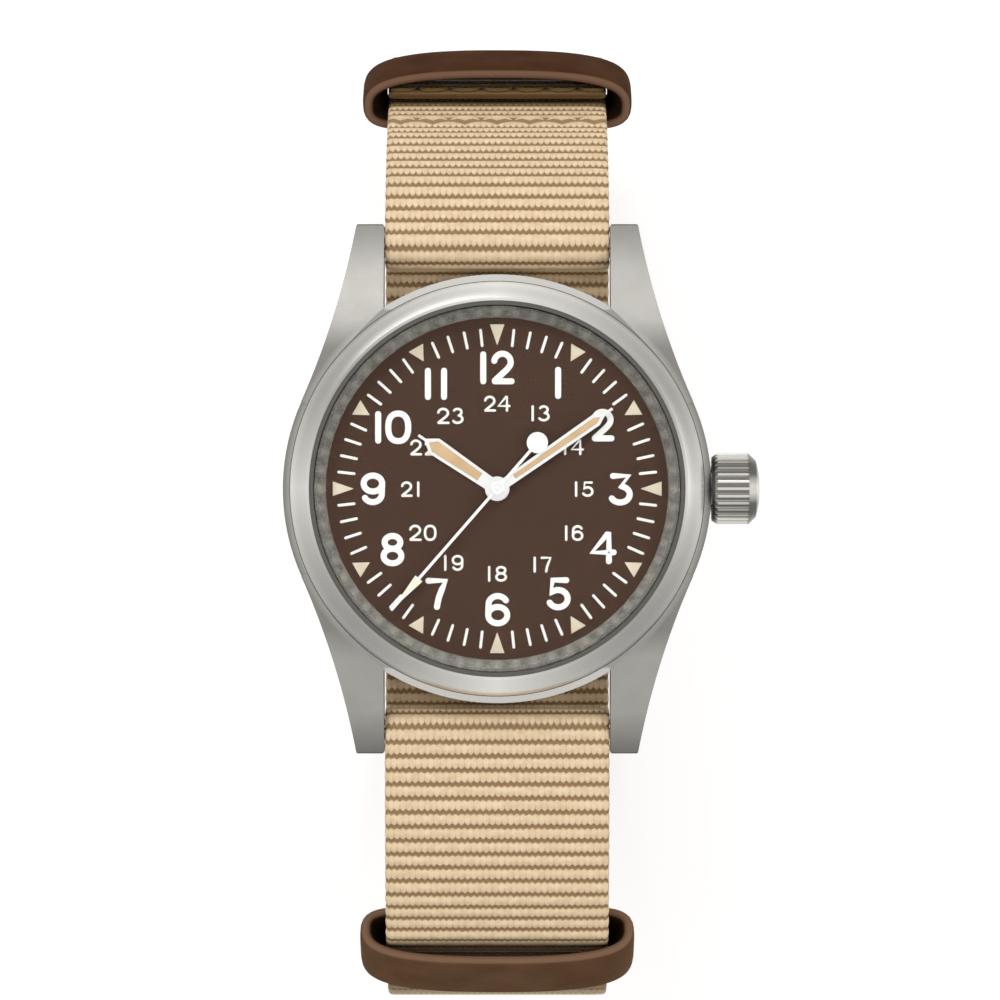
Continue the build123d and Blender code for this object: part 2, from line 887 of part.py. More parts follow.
# The framed blade of an hour or minute hand, with its window for the luminous paste
def blade_face(plane, neck, shoulder, shoulder_reach, point_reach, tip_reach, hub, bore):
    slope = (shoulder - neck) / (shoulder_reach - hub)
    outline = [
        (0.0, neck),
        (hub, neck),
        (shoulder_reach, shoulder),
        (point_reach, spike_half_width),
        (tip_reach, spike_half_width),
    ]
    window_neck = neck + slope * (window_start - hub) - frame_width
    window_shoulder = shoulder - frame_width
    window = [
        (window_start, window_neck),
        (shoulder_reach - frame_shoulder_share * frame_width, window_shoulder),
        (point_reach - frame_point_share * frame_width, 0.0),
    ]
    with BuildSketch(plane) as blade:
        with BuildLine():
            Polyline(*outline, *[(reach, -half) for reach, half in reversed(outline)], close=True)
        make_face()
        with BuildLine():
            Polyline(*window, *[(reach, -half) for reach, half in reversed(window[:-1])], close=True)
        make_face(mode=Mode.SUBTRACT)
        Circle(hub)
        Circle(bore, mode=Mode.SUBTRACT)
    return blade.sketch


with BuildPart() as hour_hand:
    hour_face = blade_face(
        hand_plane(hour_angle, hour_hand_low),
        hour_neck_half_width,
        hour_shoulder_half_width,
        hour_shoulder_reach,
        hour_point_reach,
        hour_tip_reach,
        hour_hub_radius,
        hour_pipe_radius,
    )
    extrude(hour_face, amount=hand_thickness)
hour_hand.part.label = "hour_hand"
export_step(hour_hand.part, "parts/hour_hand.step")

with BuildPart() as minute_hand:
    minute_face = blade_face(
        hand_plane(minute_angle, minute_hand_low),
        minute_neck_half_width,
        minute_shoulder_half_width,
        minute_shoulder_reach,
        minute_point_reach,
        minute_tip_reach,
        minute_hub_radius,
        cannon_pipe_radius,
    )
    extrude(minute_face, amount=hand_thickness)
minute_hand.part.label = "minute_hand"
export_step(minute_hand.part, "parts/minute_hand.step")

with BuildPart() as seconds_hand:
    pointer = (
        (-second_weight_reach, second_half_width),
        (second_arrow_start, second_half_width),
        (second_arrow_start, second_arrow_half_width),
        (second_arrow_end, second_half_width),
        (second_tip_reach, second_half_width),
    )
    with BuildSketch(hand_plane(second_angle, second_hand_low)):
        with BuildLine():
            Polyline(*pointer, *[(reach, -half) for reach, half in reversed(pointer)], close=True)
        make_face()
        Circle(second_hub_radius)
        with Locations((-second_weight_reach, 0.0)):
            Circle(second_weight_radius)
        Circle(fourth_arbor_radius, mode=Mode.SUBTRACT)
    extrude(amount=second_thickness)
seconds_hand.part.label = "seconds_hand"
export_step(seconds_hand.part, "parts/seconds_hand.step")

# Turns that put every wheel in mesh at rest
centre_pinion_turn = 0.0
barrel_turn = meshing_turn(barrel_teeth, centre_pinion_leaves, centre_pinion_turn, barrel_direction)
centre_wheel_turn = 0.0
third_pinion_turn = meshing_turn(third_pinion_leaves, centre_teeth, centre_wheel_turn, third_direction)
third_wheel_turn = 0.0
fourth_pinion_turn = meshing_turn(
    fourth_pinion_leaves, third_teeth, third_wheel_turn, third_direction + 180
)
fourth_wheel_turn = 0.0
escape_pinion_turn = meshing_turn(escape_pinion_leaves, fourth_teeth, fourth_wheel_turn, escape_direction)
ratchet_turn = 0.0
ratchet_direction = -degrees(atan2(barrel_place[1], crown_wheel_place[0] - barrel_place[0]))
crown_wheel_turn = meshing_turn(crown_wheel_teeth, ratchet_teeth, ratchet_turn, ratchet_direction)
cannon_turn = 0.0
minute_wheel_turn = meshing_turn(minute_wheel_teeth, cannon_leaves, cannon_turn, minute_wheel_direction)
minute_pinion_turn = 0.0
hour_wheel_turn = meshing_turn(
    hour_wheel_teeth, minute_pinion_leaves, minute_pinion_turn, minute_wheel_direction + 180
)
setting_direction = degrees(atan2(-minute_wheel_place[1], setting_place[0] - minute_wheel_place[0]))
setting_turn = meshing_turn(setting_teeth, minute_wheel_teeth, minute_wheel_turn, setting_direction)

# Barrel: a toothed drum with its cover, the mainspring and the arbor that winds it
barrel_high = barrel_low + barrel_height
with BuildPart() as barrel_drum:
    tooth_low = barrel_low + barrel_tooth_offset
    column(barrel_place, barrel_low, barrel_high - barrel_shell, barrel_outer_radius)
    extrude(
        toothed_face(level(barrel_place, tooth_low), barrel_teeth, barrel_module, barrel_turn),
        amount=barrel_tooth_height,
    )
    column(
        barrel_place,
        barrel_low + barrel_shell,
        barrel_high,
        barrel_outer_radius - barrel_shell,
        Mode.SUBTRACT,
    )
    column(barrel_place, 0.0, barrel_high, arbor_stem_radius + running_gap, Mode.SUBTRACT)
barrel_drum.part.label = "barrel_drum"
export_step(barrel_drum.part, "parts/barrel_drum.step")

with BuildPart() as barrel_cover:
    ring(
        barrel_place,
        barrel_high - barrel_shell,
        barrel_high,
        barrel_outer_radius,
        arbor_stem_radius + running_gap,
    )
barrel_cover.part.label = "barrel_cover"
export_step(barrel_cover.part, "parts/barrel_cover.step")

with BuildPart() as barrel_arbor:
    column(barrel_place, winding_wheel_low + winding_wheel_thickness, plate_high, arbor_stem_radius)
    column(
        barrel_place,
        barrel_low + barrel_shell + running_gap,
        barrel_high - barrel_shell - running_gap,
        arbor_core_radius,
    )
barrel_arbor.part.label = "barrel_arbor"
export_step(barrel_arbor.part, "parts/barrel_arbor.step")


# A flat spiral of half circles, each a step wider than the one before
def spiral_face(plane, start_radius, pitch, half_turns, thickness):
    with BuildSketch(plane) as coil:
        with BuildLine():
            for half_turn in range(half_turns):
                shift = pitch / 2 * (half_turn % 2)
                CenterArc((shift, 0.0), start_radius + half_turn * pitch / 2, 180 * (half_turn % 2), 180)
        trace(line_width=thickness)
    return coil.sketch


with BuildPart() as mainspring:
    spring_low = barrel_low + barrel_shell + running_gap
    spring_high = barrel_high - barrel_shell - running_gap
    spring_face = spiral_face(
        level(barrel_place, spring_low),
        arbor_core_radius + running_gap + mainspring_thickness / 2,
        mainspring_pitch,
        mainspring_half_turns,
        mainspring_thickness,
    )
    extrude(spring_face, amount=spring_high - spring_low)
mainspring.part.label = "mainspring"
export_step(mainspring.part, "parts/mainspring.step")

# Winding wheels, let into the outer face of the barrel bridge, with their screws' heads
winding_wheel_high = winding_wheel_low + winding_wheel_thickness
with BuildPart() as ratchet_wheel:
    extrude(
        toothed_face(level(barrel_place, winding_wheel_low), ratchet_teeth, ratchet_module, ratchet_turn),
        amount=winding_wheel_thickness,
    )
    column(barrel_place, winding_wheel_low - screw_head_height, winding_wheel_low, wheel_screw_radius)
ratchet_wheel.part.label = "ratchet_wheel"
export_step(ratchet_wheel.part, "parts/ratchet_wheel.step")

with BuildPart() as crown_wheel:
    extrude(
        toothed_face(
            level(crown_wheel_place, winding_wheel_low), crown_wheel_teeth, ratchet_module, crown_wheel_turn
        ),
        amount=winding_wheel_thickness,
    )
    column(crown_wheel_place, winding_wheel_low - screw_head_height, winding_wheel_low, wheel_screw_radius)
    column(crown_wheel_place, winding_wheel_high, bridge_high - press_gap, setting_stud_radius)
crown_wheel.part.label = "crown_wheel"
export_step(crown_wheel.part, "parts/crown_wheel.step")

click_place = beyond(barrel_place, click_distance, click_direction)
click_tip = beyond(barrel_place, ratchet_radius + click_beak_gap, click_beak_direction)
with BuildPart() as click:
    column(click_place, winding_wheel_low, winding_wheel_high, click_boss_radius)
    beak_length = hypot(click_tip[0] - click_place[0], click_tip[1] - click_place[1])
    beak_direction = degrees(atan2(click_tip[1] - click_place[1], click_tip[0] - click_place[0]))
    beak_plane = Plane(
        origin=(*click_place, head(winding_wheel_low)),
        x_dir=(*polar(1, beak_direction), 0),
        z_dir=(0, 0, 1),
    )
    with BuildSketch(beak_plane):
        with BuildLine():
            Polyline(
                (0.0, click_boss_radius),
                (beak_length, click_beak_width / 2),
                (beak_length, -click_beak_width / 2),
                (0.0, -click_boss_radius),
                close=True,
            )
        make_face()
    extrude(amount=winding_wheel_thickness)
    column(click_place, winding_wheel_high, bridge_high, arbor_radius)
click.part.label = "click"
export_step(click.part, "parts/click.step")

# A thin blade that presses on the click's boss from the rim side
with BuildPart() as click_spring:
    spring_contact = click_boss_radius + running_gap + click_spring_width / 2
    with BuildSketch(level(click_place, winding_wheel_low)):
        with Locations((-click_spring_length / 2 + click_boss_radius, spring_contact)):
            Rectangle(click_spring_length, click_spring_width)
        with Locations((-click_spring_length + click_boss_radius, spring_contact)):
            Circle(click_boss_radius / 2)
    extrude(amount=winding_wheel_thickness)
click_spring.part.label = "click_spring"
export_step(click_spring.part, "parts/click_spring.step")

# Going train
with BuildPart() as centre_wheel:
    extrude(
        toothed_face(
            level(centre_place, centre_wheel_low),
            centre_teeth,
            centre_module,
            centre_wheel_turn,
            window_count,
        ),
        amount=wheel_thickness,
    )
    extrude(
        toothed_face(
            level(centre_place, centre_pinion_low), centre_pinion_leaves, barrel_module, centre_pinion_turn
        ),
        amount=centre_pinion_height,
    )
    column(centre_place, centre_pinion_low, minute_hand_low, centre_pipe_radius)
    column(centre_place, centre_pinion_low + centre_pinion_height, centre_wheel_low, 2 * centre_pipe_radius)
    column(centre_place, 0.0, minute_hand_low + overrun, centre_pipe_bore, Mode.SUBTRACT)
centre_wheel.part.label = "centre_wheel"
export_step(centre_wheel.part, "parts/centre_wheel.step")

with BuildPart() as third_wheel:
    extrude(
        toothed_face(
            level(third_place, third_wheel_low), third_teeth, third_module, third_wheel_turn, window_count
        ),
        amount=wheel_thickness,
    )
    extrude(
        toothed_face(
            level(third_place, centre_wheel_low - wheel_gap),
            third_pinion_leaves,
            centre_module,
            third_pinion_turn,
        ),
        amount=plate_low - running_gap - centre_wheel_low + wheel_gap,
    )
    column(third_place, bridge_high + running_gap, plate_low - running_gap, arbor_radius)
    column(third_place, movement_low, plate_high, pivot_radius)
third_wheel.part.label = "third_wheel"
export_step(third_wheel.part, "parts/third_wheel.step")

with BuildPart() as fourth_wheel:
    extrude(
        toothed_face(
            level(centre_place, fourth_wheel_low),
            fourth_teeth,
            fourth_module,
            fourth_wheel_turn,
            window_count,
        ),
        amount=wheel_thickness,
    )
    extrude(
        toothed_face(
            level(centre_place, fourth_wheel_low + wheel_thickness),
            fourth_pinion_leaves,
            third_module,
            fourth_pinion_turn,
        ),
        amount=2 * wheel_gap + wheel_thickness,
    )
    column(centre_place, movement_low, second_hand_low + second_thickness, pivot_radius)
    column(centre_place, bridge_high + running_gap, second_hand_low + second_thickness, fourth_arbor_radius)
fourth_wheel.part.label = "fourth_wheel"
export_step(fourth_wheel.part, "parts/fourth_wheel.step")

# Escape wheel: pointed teeth that lean forward, on a pinion driven by the fourth wheel
with BuildPart() as escape_wheel:
    escape_step = 360 / escape_teeth
    escape_points = []
    for tooth in range(escape_teeth):
        escape_points.append(polar(escape_root_radius, tooth * escape_step))
        escape_points.append(polar(escape_radius, (tooth + escape_lean_share) * escape_step))
        escape_points.append(polar(escape_root_radius, (tooth + escape_lean_share) * escape_step))
    with BuildSketch(level(escape_place, escape_low)):
        with BuildLine():
            Polyline(*escape_points, close=True)
        make_face()
        with PolarLocations((escape_root_radius + escape_hub_radius) / 2, window_count):
            Circle(escape_window_share * (escape_root_radius - escape_hub_radius), mode=Mode.SUBTRACT)
    extrude(amount=wheel_thickness)
    extrude(
        toothed_face(
            level(escape_place, bridge_high + running_gap),
            escape_pinion_leaves,
            fourth_module,
            escape_pinion_turn,
        ),
        amount=fourth_wheel_low + wheel_thickness + wheel_gap - bridge_high,
    )
    column(escape_place, bridge_high + running_gap, plate_low - running_gap, arbor_radius)
    column(escape_place, movement_low, plate_high, pivot_radius)
escape_wheel.part.label = "escape_wheel"
export_step(escape_wheel.part, "parts/escape_wheel.step")

# Pallet fork: an anchor whose arms reach to the escape wheel and a fork that reaches to the balance
fork_direction = degrees(atan2(balance_place[1] - pallet_place[1], balance_place[0] - pallet_place[0]))
anchor_direction = degrees(atan2(escape_place[1] - pallet_place[1], escape_place[0] - pallet_place[0]))
pallet_bridge_high = pallet_bridge_low + pallet_bridge_thickness
with BuildPart() as pallet_fork:
    fork_plane = Plane(
        origin=(*pallet_place, head(escape_low)), x_dir=(*polar(1, fork_direction), 0), z_dir=(0, 0, 1)
    )
    anchor_plane = Plane(
        origin=(*pallet_place, head(escape_low)), x_dir=(*polar(1, anchor_direction), 0), z_dir=(0, 0, 1)
    )
    anchor_distance = hypot(escape_place[0] - pallet_place[0], escape_place[1] - pallet_place[1])
    stone_reach = anchor_distance - sqrt(escape_radius**2 - pallet_span**2) - pallet_arm_width / 2
    with BuildSketch(fork_plane):
        with BuildLine():
            Polyline(
                (0.0, pallet_arm_width / 2),
                (pallet_fork_reach - pallet_fork_half_width, pallet_arm_width / 2),
                (pallet_fork_reach, pallet_fork_half_width),
                (pallet_fork_reach, pallet_notch_half_width),
                (pallet_fork_reach - pallet_fork_half_width, pallet_notch_half_width),
                (pallet_fork_reach - pallet_fork_half_width, -pallet_notch_half_width),
                (pallet_fork_reach, -pallet_notch_half_width),
                (pallet_fork_reach, -pallet_fork_half_width),
                (pallet_fork_reach - pallet_fork_half_width, -pallet_arm_width / 2),
                (0.0, -pallet_arm_width / 2),
                close=True,
            )
        make_face()
    extrude(amount=wheel_thickness)
    with BuildSketch(anchor_plane):
        Circle(pallet_arm_width)
        with BuildLine():
            Polyline(
                (-pallet_arm_width / 2, 0.0),
                (stone_reach - pallet_arm_width, pallet_span + pallet_arm_width / 2),
                (stone_reach, pallet_span + pallet_arm_width / 2),
                (stone_reach, pallet_span - pallet_arm_width / 2),
                (pallet_arm_width / 2, 0.0),
                (stone_reach, -pallet_span + pallet_arm_width / 2),
                (stone_reach, -pallet_span - pallet_arm_width / 2),
                (stone_reach - pallet_arm_width, -pallet_span - pallet_arm_width / 2),
                close=True,
            )
        make_face()
    extrude(amount=wheel_thickness)
    column(pallet_place, pallet_bridge_high + running_gap, plate_low - running_gap, arbor_radius)
    column(pallet_place, pallet_bridge_low, plate_high, pivot_radius)
pallet_fork.part.label = "pallet_fork"
export_step(pallet_fork.part, "parts/pallet_fork.step")

# Balance: a rim on two arms, with the roller and its impulse pin on the same staff
with BuildPart() as balance_wheel:
    balance_high = balance_low + balance_rim_thickness
    roller_high = roller_low + roller_thickness
    column(balance_place, balance_low, balance_high, balance_radius)
    column(
        balance_place,
        balance_low - overrun,
        balance_high + overrun,
        balance_radius - balance_rim_width,
        Mode.SUBTRACT,
    )
    with BuildSketch(level(balance_place, balance_low)):
        Rectangle(2 * balance_radius - balance_rim_width, balance_arm_width)
        Circle(balance_arm_width)
    extrude(amount=balance_rim_thickness)
    column(balance_place, bridge_high + running_gap, plate_low - running_gap, arbor_radius)
    column(balance_place, movement_low, plate_high, pivot_radius)
    column(balance_place, roller_low, roller_high, roller_radius)
    pin_place = beyond(balance_place, impulse_pin_reach, fork_direction + 180)
    column(pin_place, roller_high, roller_high + 2 * roller_thickness, impulse_pin_radius)
balance_wheel.part.label = "balance_wheel"
export_step(balance_wheel.part, "parts/balance_wheel.step")

with BuildPart() as hairspring:
    hairspring_low = bridge_high + hairspring_gap
    hairspring_face = spiral_face(
        level(balance_place, hairspring_low),
        hairspring_start_radius,
        hairspring_pitch,
        hairspring_half_turns,
        hairspring_thickness,
    )
    extrude(hairspring_face, amount=hairspring_height)
hairspring.part.label = "hairspring"
export_step(hairspring.part, "parts/hairspring.step")

# Regulator: a ring round the balance jewel on the cock's outer face, with a pointer
with BuildPart() as regulator:
    regulator_low = movement_low - regulator_thickness
    with BuildSketch(level(balance_place, regulator_low)):
        Circle(regulator_radius)
        arm_place = polar(regulator_arm_reach / 2, regulator_direction)
        with Locations(Location((arm_place[0], arm_place[1], 0.0), (0, 0, regulator_direction))):
            Rectangle(regulator_arm_reach, regulator_arm_width)
        Circle(jewel_radius + running_gap, mode=Mode.SUBTRACT)
    extrude(amount=regulator_thickness)
regulator.part.label = "regulator"
export_step(regulator.part, "parts/regulator.step")

# Keyless work: the clutch slides on the stem's square, the winding pinion turns on its round part
with BuildPart() as sliding_pinion:
    clutch_groove_start = clutch_groove_place - clutch_groove_width / 2
    clutch_groove_end = clutch_groove_place + clutch_groove_width / 2
    clutch_face = lathe_face(
        along_stem(
            (
                (clutch_start, 0.0),
                (clutch_start, clutch_ring_radius),
                (clutch_start + clutch_ring_length, clutch_ring_radius),
                (clutch_start + clutch_ring_length, clutch_radius),
                (clutch_groove_start, clutch_radius),
                (clutch_groove_start, clutch_groove_radius),
                (clutch_groove_end, clutch_groove_radius),
                (clutch_groove_end, clutch_radius),
                (clutch_end, clutch_radius),
                (clutch_end, 0.0),
            )
        )
    )
    revolve(clutch_face, axis=stem_axis)
    with BuildSketch(Plane.YZ.offset(clutch_start - overrun)):
        with Locations((0.0, head(stem_height))):
            Rectangle(clutch_square_side, clutch_square_side)
    extrude(amount=clutch_length + 2 * overrun, mode=Mode.SUBTRACT)
sliding_pinion.part.label = "sliding_pinion"
export_step(sliding_pinion.part, "parts/sliding_pinion.step")

with BuildPart() as winding_pinion:
    pinion_step = 360 / winding_pinion_teeth
    pinion_corners = (
        (winding_pinion_root_radius, -tooth_root_share),
        (winding_pinion_radius, -tooth_tip_share),
        (winding_pinion_radius, tooth_tip_share),
        (winding_pinion_root_radius, tooth_root_share),
    )
    pinion_points = [
        polar(radius, (tooth + share) * pinion_step)
        for tooth in range(winding_pinion_teeth)
        for radius, share in pinion_corners
    ]
    with BuildSketch(Plane.YZ.offset(winding_pinion_start)):
        with Locations((0.0, head(stem_height))):
            with BuildLine(mode=Mode.PRIVATE) as pinion_outline:
                Polyline(*pinion_points, close=True)
            add(make_face(pinion_outline.line, mode=Mode.PRIVATE))
            Circle(stem_radius + running_gap, mode=Mode.SUBTRACT)
    extrude(amount=winding_pinion_length)
winding_pinion.part.label = "winding_pinion"
export_step(winding_pinion.part, "parts/winding_pinion.step")


# A flat bar with round ends from one place to another
def link_face(height, start, end, width):
    with BuildSketch(level(centre_place, height)) as link:
        middle = ((start[0] + end[0]) / 2, (start[1] + end[1]) / 2, 0.0)
        turn = degrees(atan2(end[1] - start[1], end[0] - start[0]))
        with Locations(Location(middle, (0, 0, turn))):
            SlotCenterToCenter(hypot(end[0] - start[0], end[1] - start[1]), width)
    return link.sketch


with BuildPart() as setting_lever:
    lever_end = (stem_groove_place, 0.0)
    lever_high = lever_low + lever_thickness
    extrude(link_face(lever_low, lever_place, lever_end, lever_width), amount=lever_thickness)
    column(lever_end, lever_high, stem_height - stem_groove_radius - lever_pin_gap, lever_pin_radius)
    column(lever_place, lever_high, plate_high, lever_stud_radius)
setting_lever.part.label = "setting_lever"
export_step(setting_lever.part, "parts/setting_lever.step")

with BuildPart() as yoke:
    yoke_elbow = (clutch_groove_place, -yoke_elbow_drop)
    yoke_tip = (clutch_groove_place, yoke_finger_reach)
    extrude(link_face(yoke_low, yoke_place, yoke_elbow, yoke_width), amount=lever_thickness)
    extrude(link_face(yoke_low, yoke_elbow, yoke_tip, yoke_finger_width), amount=lever_thickness)
    column(yoke_place, yoke_low + lever_thickness, plate_high, lever_stud_radius)
yoke.part.label = "yoke"
export_step(yoke.part, "parts/yoke.step")

# Motion work under the dial
setting_high = motion_low + wheel_gap
stud_high = dial_low - 2 * running_gap
with BuildPart() as cannon_pinion:
    extrude(
        toothed_face(level(centre_place, motion_low), cannon_leaves, motion_module, cannon_turn),
        amount=wheel_thickness,
    )
    column(centre_place, motion_low, minute_hand_low + hand_thickness, cannon_pipe_radius)
    column(centre_place, 0.0, minute_hand_low + overrun, centre_pipe_radius + press_gap, Mode.SUBTRACT)
cannon_pinion.part.label = "cannon_pinion"
export_step(cannon_pinion.part, "parts/cannon_pinion.step")

with BuildPart() as minute_wheel:
    extrude(
        toothed_face(
            level(minute_wheel_place, motion_low),
            minute_wheel_teeth,
            motion_module,
            minute_wheel_turn,
            window_count,
        ),
        amount=wheel_thickness,
    )
    extrude(
        toothed_face(
            level(minute_wheel_place, motion_low + wheel_thickness),
            minute_pinion_leaves,
            hour_module,
            minute_pinion_turn,
        ),
        amount=stud_high - motion_low - wheel_thickness,
    )
    column(minute_wheel_place, 0.0, dial_high, arbor_radius + pipe_gap, Mode.SUBTRACT)
minute_wheel.part.label = "minute_wheel"
export_step(minute_wheel.part, "parts/minute_wheel.step")

with BuildPart() as hour_wheel:
    extrude(
        toothed_face(
            level(centre_place, hour_wheel_low),
            hour_wheel_teeth,
            hour_module,
            hour_wheel_turn,
            window_count,
        ),
        amount=wheel_thickness,
    )
    column(centre_place, hour_wheel_low, hour_hand_low + hand_thickness, hour_pipe_radius)
    column(centre_place, 0.0, minute_hand_low, cannon_pipe_radius + pipe_gap, Mode.SUBTRACT)
hour_wheel.part.label = "hour_wheel"
export_step(hour_wheel.part, "parts/hour_wheel.step")

with BuildPart() as setting_wheel:
    extrude(
        toothed_face(level(setting_place, setting_low), setting_teeth, motion_module, setting_turn),
        amount=setting_high - setting_low,
    )
    column(setting_place, 0.0, dial_high, setting_stud_radius + running_gap, Mode.SUBTRACT)
setting_wheel.part.label = "setting_wheel"
export_step(setting_wheel.part, "parts/setting_wheel.step")


# A block between two places along the stem, as wide as it is on both sides of the stem
def stem_box(start, end, half_width, low, high, mode=Mode.ADD):
    with Locations(((start + end) / 2, 0.0, head((low + high) / 2))):
        Box(end - start, 2 * half_width, high - low, mode=mode)


def stem_bore(start, end, radius):
    bore_face = lathe_face(along_stem(((start, 0.0), (end, 0.0), (end, radius), (start, radius))))
    revolve(bore_face, axis=stem_axis, mode=Mode.SUBTRACT)


def pivot_holes(places, low, high):
    for place in places:
        column(place, low - overrun, high + overrun, jewel_bore_radius + running_gap, Mode.SUBTRACT)


def screw_holes(feet, low):
    for foot in feet:
        column(foot, low - overrun, low + screw_head_height, screw_head_radius + screw_gap, Mode.SUBTRACT)
        column(foot, low, plate_low + overrun, screw_shank_radius + screw_gap, Mode.SUBTRACT)


pallet_foot = (*pallet_bridge_foot, pallet_bridge_width / 2 + screw_gap)
train_side_feet = (*barrel_bridge_feet, *train_bridge_feet, cock_foot)
plate_jewel_places = (third_place, escape_place, pallet_place, balance_place)
bridge_jewel_places = (centre_place, third_place, escape_place)
jewel_low_in_plate = plate_low + jewel_thickness

# Main plate with the two blocks that carry the stem and the studs for the wheels under the dial
with BuildPart() as main_plate:
    column(centre_place, plate_low, plate_high, movement_radius)
    pilot_block_end = pilot_block_start + pilot_block_length
    stem_box(pilot_block_start, pilot_block_end, pilot_block_half_width, pilot_block_low, plate_low)
    stem_box(stem_block_start, stem_block_end, stem_block_half_width, stem_block_low, plate_low)
    stem_bore(pilot_block_start - overrun, pilot_block_end + overrun, stem_pilot_radius + running_gap)
    stem_bore(stem_block_start - overrun, stem_block_end + overrun, stem_radius + running_gap)
    pin_room = lever_pin_radius + 2 * lever_pin_gap
    stem_box(
        stem_groove_place - pin_room,
        stem_groove_place + crown_travel + pin_room,
        pin_room + lever_pin_gap,
        stem_block_low - overrun,
        stem_height,
        Mode.SUBTRACT,
    )
    window_half_width = winding_pinion_radius - running_gap
    stem_box(
        setting_window_start,
        setting_window_end,
        window_half_width,
        plate_low - overrun,
        plate_high + overrun,
        Mode.SUBTRACT,
    )
    setting_floor_high = plate_low + setting_floor
    setting_room = setting_radius + wheel_gap
    column(setting_place, setting_floor_high, plate_high + overrun, setting_room, Mode.SUBTRACT)
    column(setting_place, setting_floor_high, setting_high, setting_stud_radius)
    column(minute_wheel_place, plate_high, stud_high, arbor_radius)
    column(centre_place, 0.0, dial_low, centre_pipe_radius + running_gap, Mode.SUBTRACT)
    column(barrel_place, 0.0, dial_low, arbor_stem_radius + running_gap, Mode.SUBTRACT)
    pivot_holes(plate_jewel_places, plate_low, plate_high)
    for jewel_place in plate_jewel_places:
        column(jewel_place, plate_low - overrun, jewel_low_in_plate, jewel_radius, Mode.SUBTRACT)
    for stud_place in (lever_place, yoke_place):
        column(stud_place, 0.0, dial_low, lever_stud_radius + running_gap, Mode.SUBTRACT)
    for foot_place in dial_foot_places:
        column(foot_place, 0.0, dial_low, dial_foot_radius + running_gap, Mode.SUBTRACT)
    for foot in (*train_side_feet, pallet_foot):
        column(foot, 0.0, plate_low + screw_bite + screw_gap, screw_shank_radius + screw_gap, Mode.SUBTRACT)
main_plate.part.label = "main_plate"
export_step(main_plate.part, "parts/main_plate.step")

# Barrel bridge, recessed on its outer face for the winding wheels, the click and its spring
with BuildPart() as barrel_bridge:
    with BuildSketch(level(centre_place, movement_low)):
        Circle(bridge_radius)
        with Locations((0.0, barrel_bridge_edge)):
            Rectangle(
                2 * bridge_radius, 2 * bridge_radius, align=(Align.CENTER, Align.MIN), mode=Mode.INTERSECT
            )
        with Locations(crown_wheel_place):
            Circle(crown_wheel_cover_radius)
    extrude(amount=bridge_thickness)
    for foot in barrel_bridge_feet:
        column(foot, bridge_high, plate_low, foot[2])
    recess_high = movement_low + winding_recess_depth
    recess_low = movement_low - overrun
    column(barrel_place, recess_low, recess_high, ratchet_radius + winding_recess_gap, Mode.SUBTRACT)
    crown_wheel_room = crown_wheel_radius + winding_recess_gap
    column(crown_wheel_place, recess_low, recess_high, crown_wheel_room, Mode.SUBTRACT)
    click_recess_width = 2 * (click_boss_radius + winding_recess_gap)
    extrude(
        link_face(recess_low, barrel_place, click_place, 2 * click_recess_width),
        amount=recess_high - recess_low,
        mode=Mode.SUBTRACT,
    )
    spring_room = (click_place[0] - click_spring_length, click_place[1] + click_boss_radius)
    extrude(
        link_face(recess_low, (click_place[0], spring_room[1]), spring_room, click_recess_width / 2),
        amount=recess_high - recess_low,
        mode=Mode.SUBTRACT,
    )
    column(barrel_place, 0.0, plate_low, arbor_stem_radius + running_gap, Mode.SUBTRACT)
    column(crown_wheel_place, 0.0, plate_low, setting_stud_radius + running_gap, Mode.SUBTRACT)
    column(click_place, 0.0, plate_low, arbor_radius + running_gap, Mode.SUBTRACT)
    stem_box(
        winding_pinion_start - wheel_gap,
        winding_pinion_end + wheel_gap,
        winding_pinion_radius,
        recess_low,
        plate_low,
        Mode.SUBTRACT,
    )
    stem_box(
        setting_window_start,
        setting_window_end,
        winding_pinion_radius,
        stem_height - clutch_ring_radius - wheel_gap / 2,
        plate_low,
        Mode.SUBTRACT,
    )
    screw_holes(barrel_bridge_feet, movement_low)
barrel_bridge.part.label = "barrel_bridge"
export_step(barrel_bridge.part, "parts/barrel_bridge.step")

with BuildPart() as train_bridge:
    with BuildSketch(level(centre_place, movement_low)):
        Circle(bridge_radius)
        with Locations((train_bridge_side, train_bridge_edge)):
            Rectangle(
                2 * bridge_radius, 2 * bridge_radius, align=(Align.MAX, Align.MAX), mode=Mode.INTERSECT
            )
    extrude(amount=bridge_thickness)
    for foot in train_bridge_feet:
        column(foot, bridge_high, plate_low, foot[2])
    pivot_holes(bridge_jewel_places, movement_low, bridge_high)
    for jewel_place in bridge_jewel_places:
        column(jewel_place, 0.0, movement_low + jewel_thickness, jewel_radius, Mode.SUBTRACT)
    screw_holes(train_bridge_feet, movement_low)
train_bridge.part.label = "train_bridge"
export_step(train_bridge.part, "parts/train_bridge.step")

with BuildPart() as balance_cock:
    extrude(link_face(movement_low, cock_foot, balance_place, cock_width), amount=bridge_thickness)
    column(balance_place, movement_low, bridge_high, cock_end_radius)
    column(centre_place, 0.0, plate_low, bridge_radius, Mode.INTERSECT)
    column(cock_foot, bridge_high, plate_low, cock_foot[2])
    pivot_holes((balance_place,), movement_low, bridge_high)
    column(balance_place, 0.0, movement_low + jewel_thickness, jewel_radius, Mode.SUBTRACT)
    screw_holes((cock_foot,), movement_low)
balance_cock.part.label = "balance_cock"
export_step(balance_cock.part, "parts/balance_cock.step")

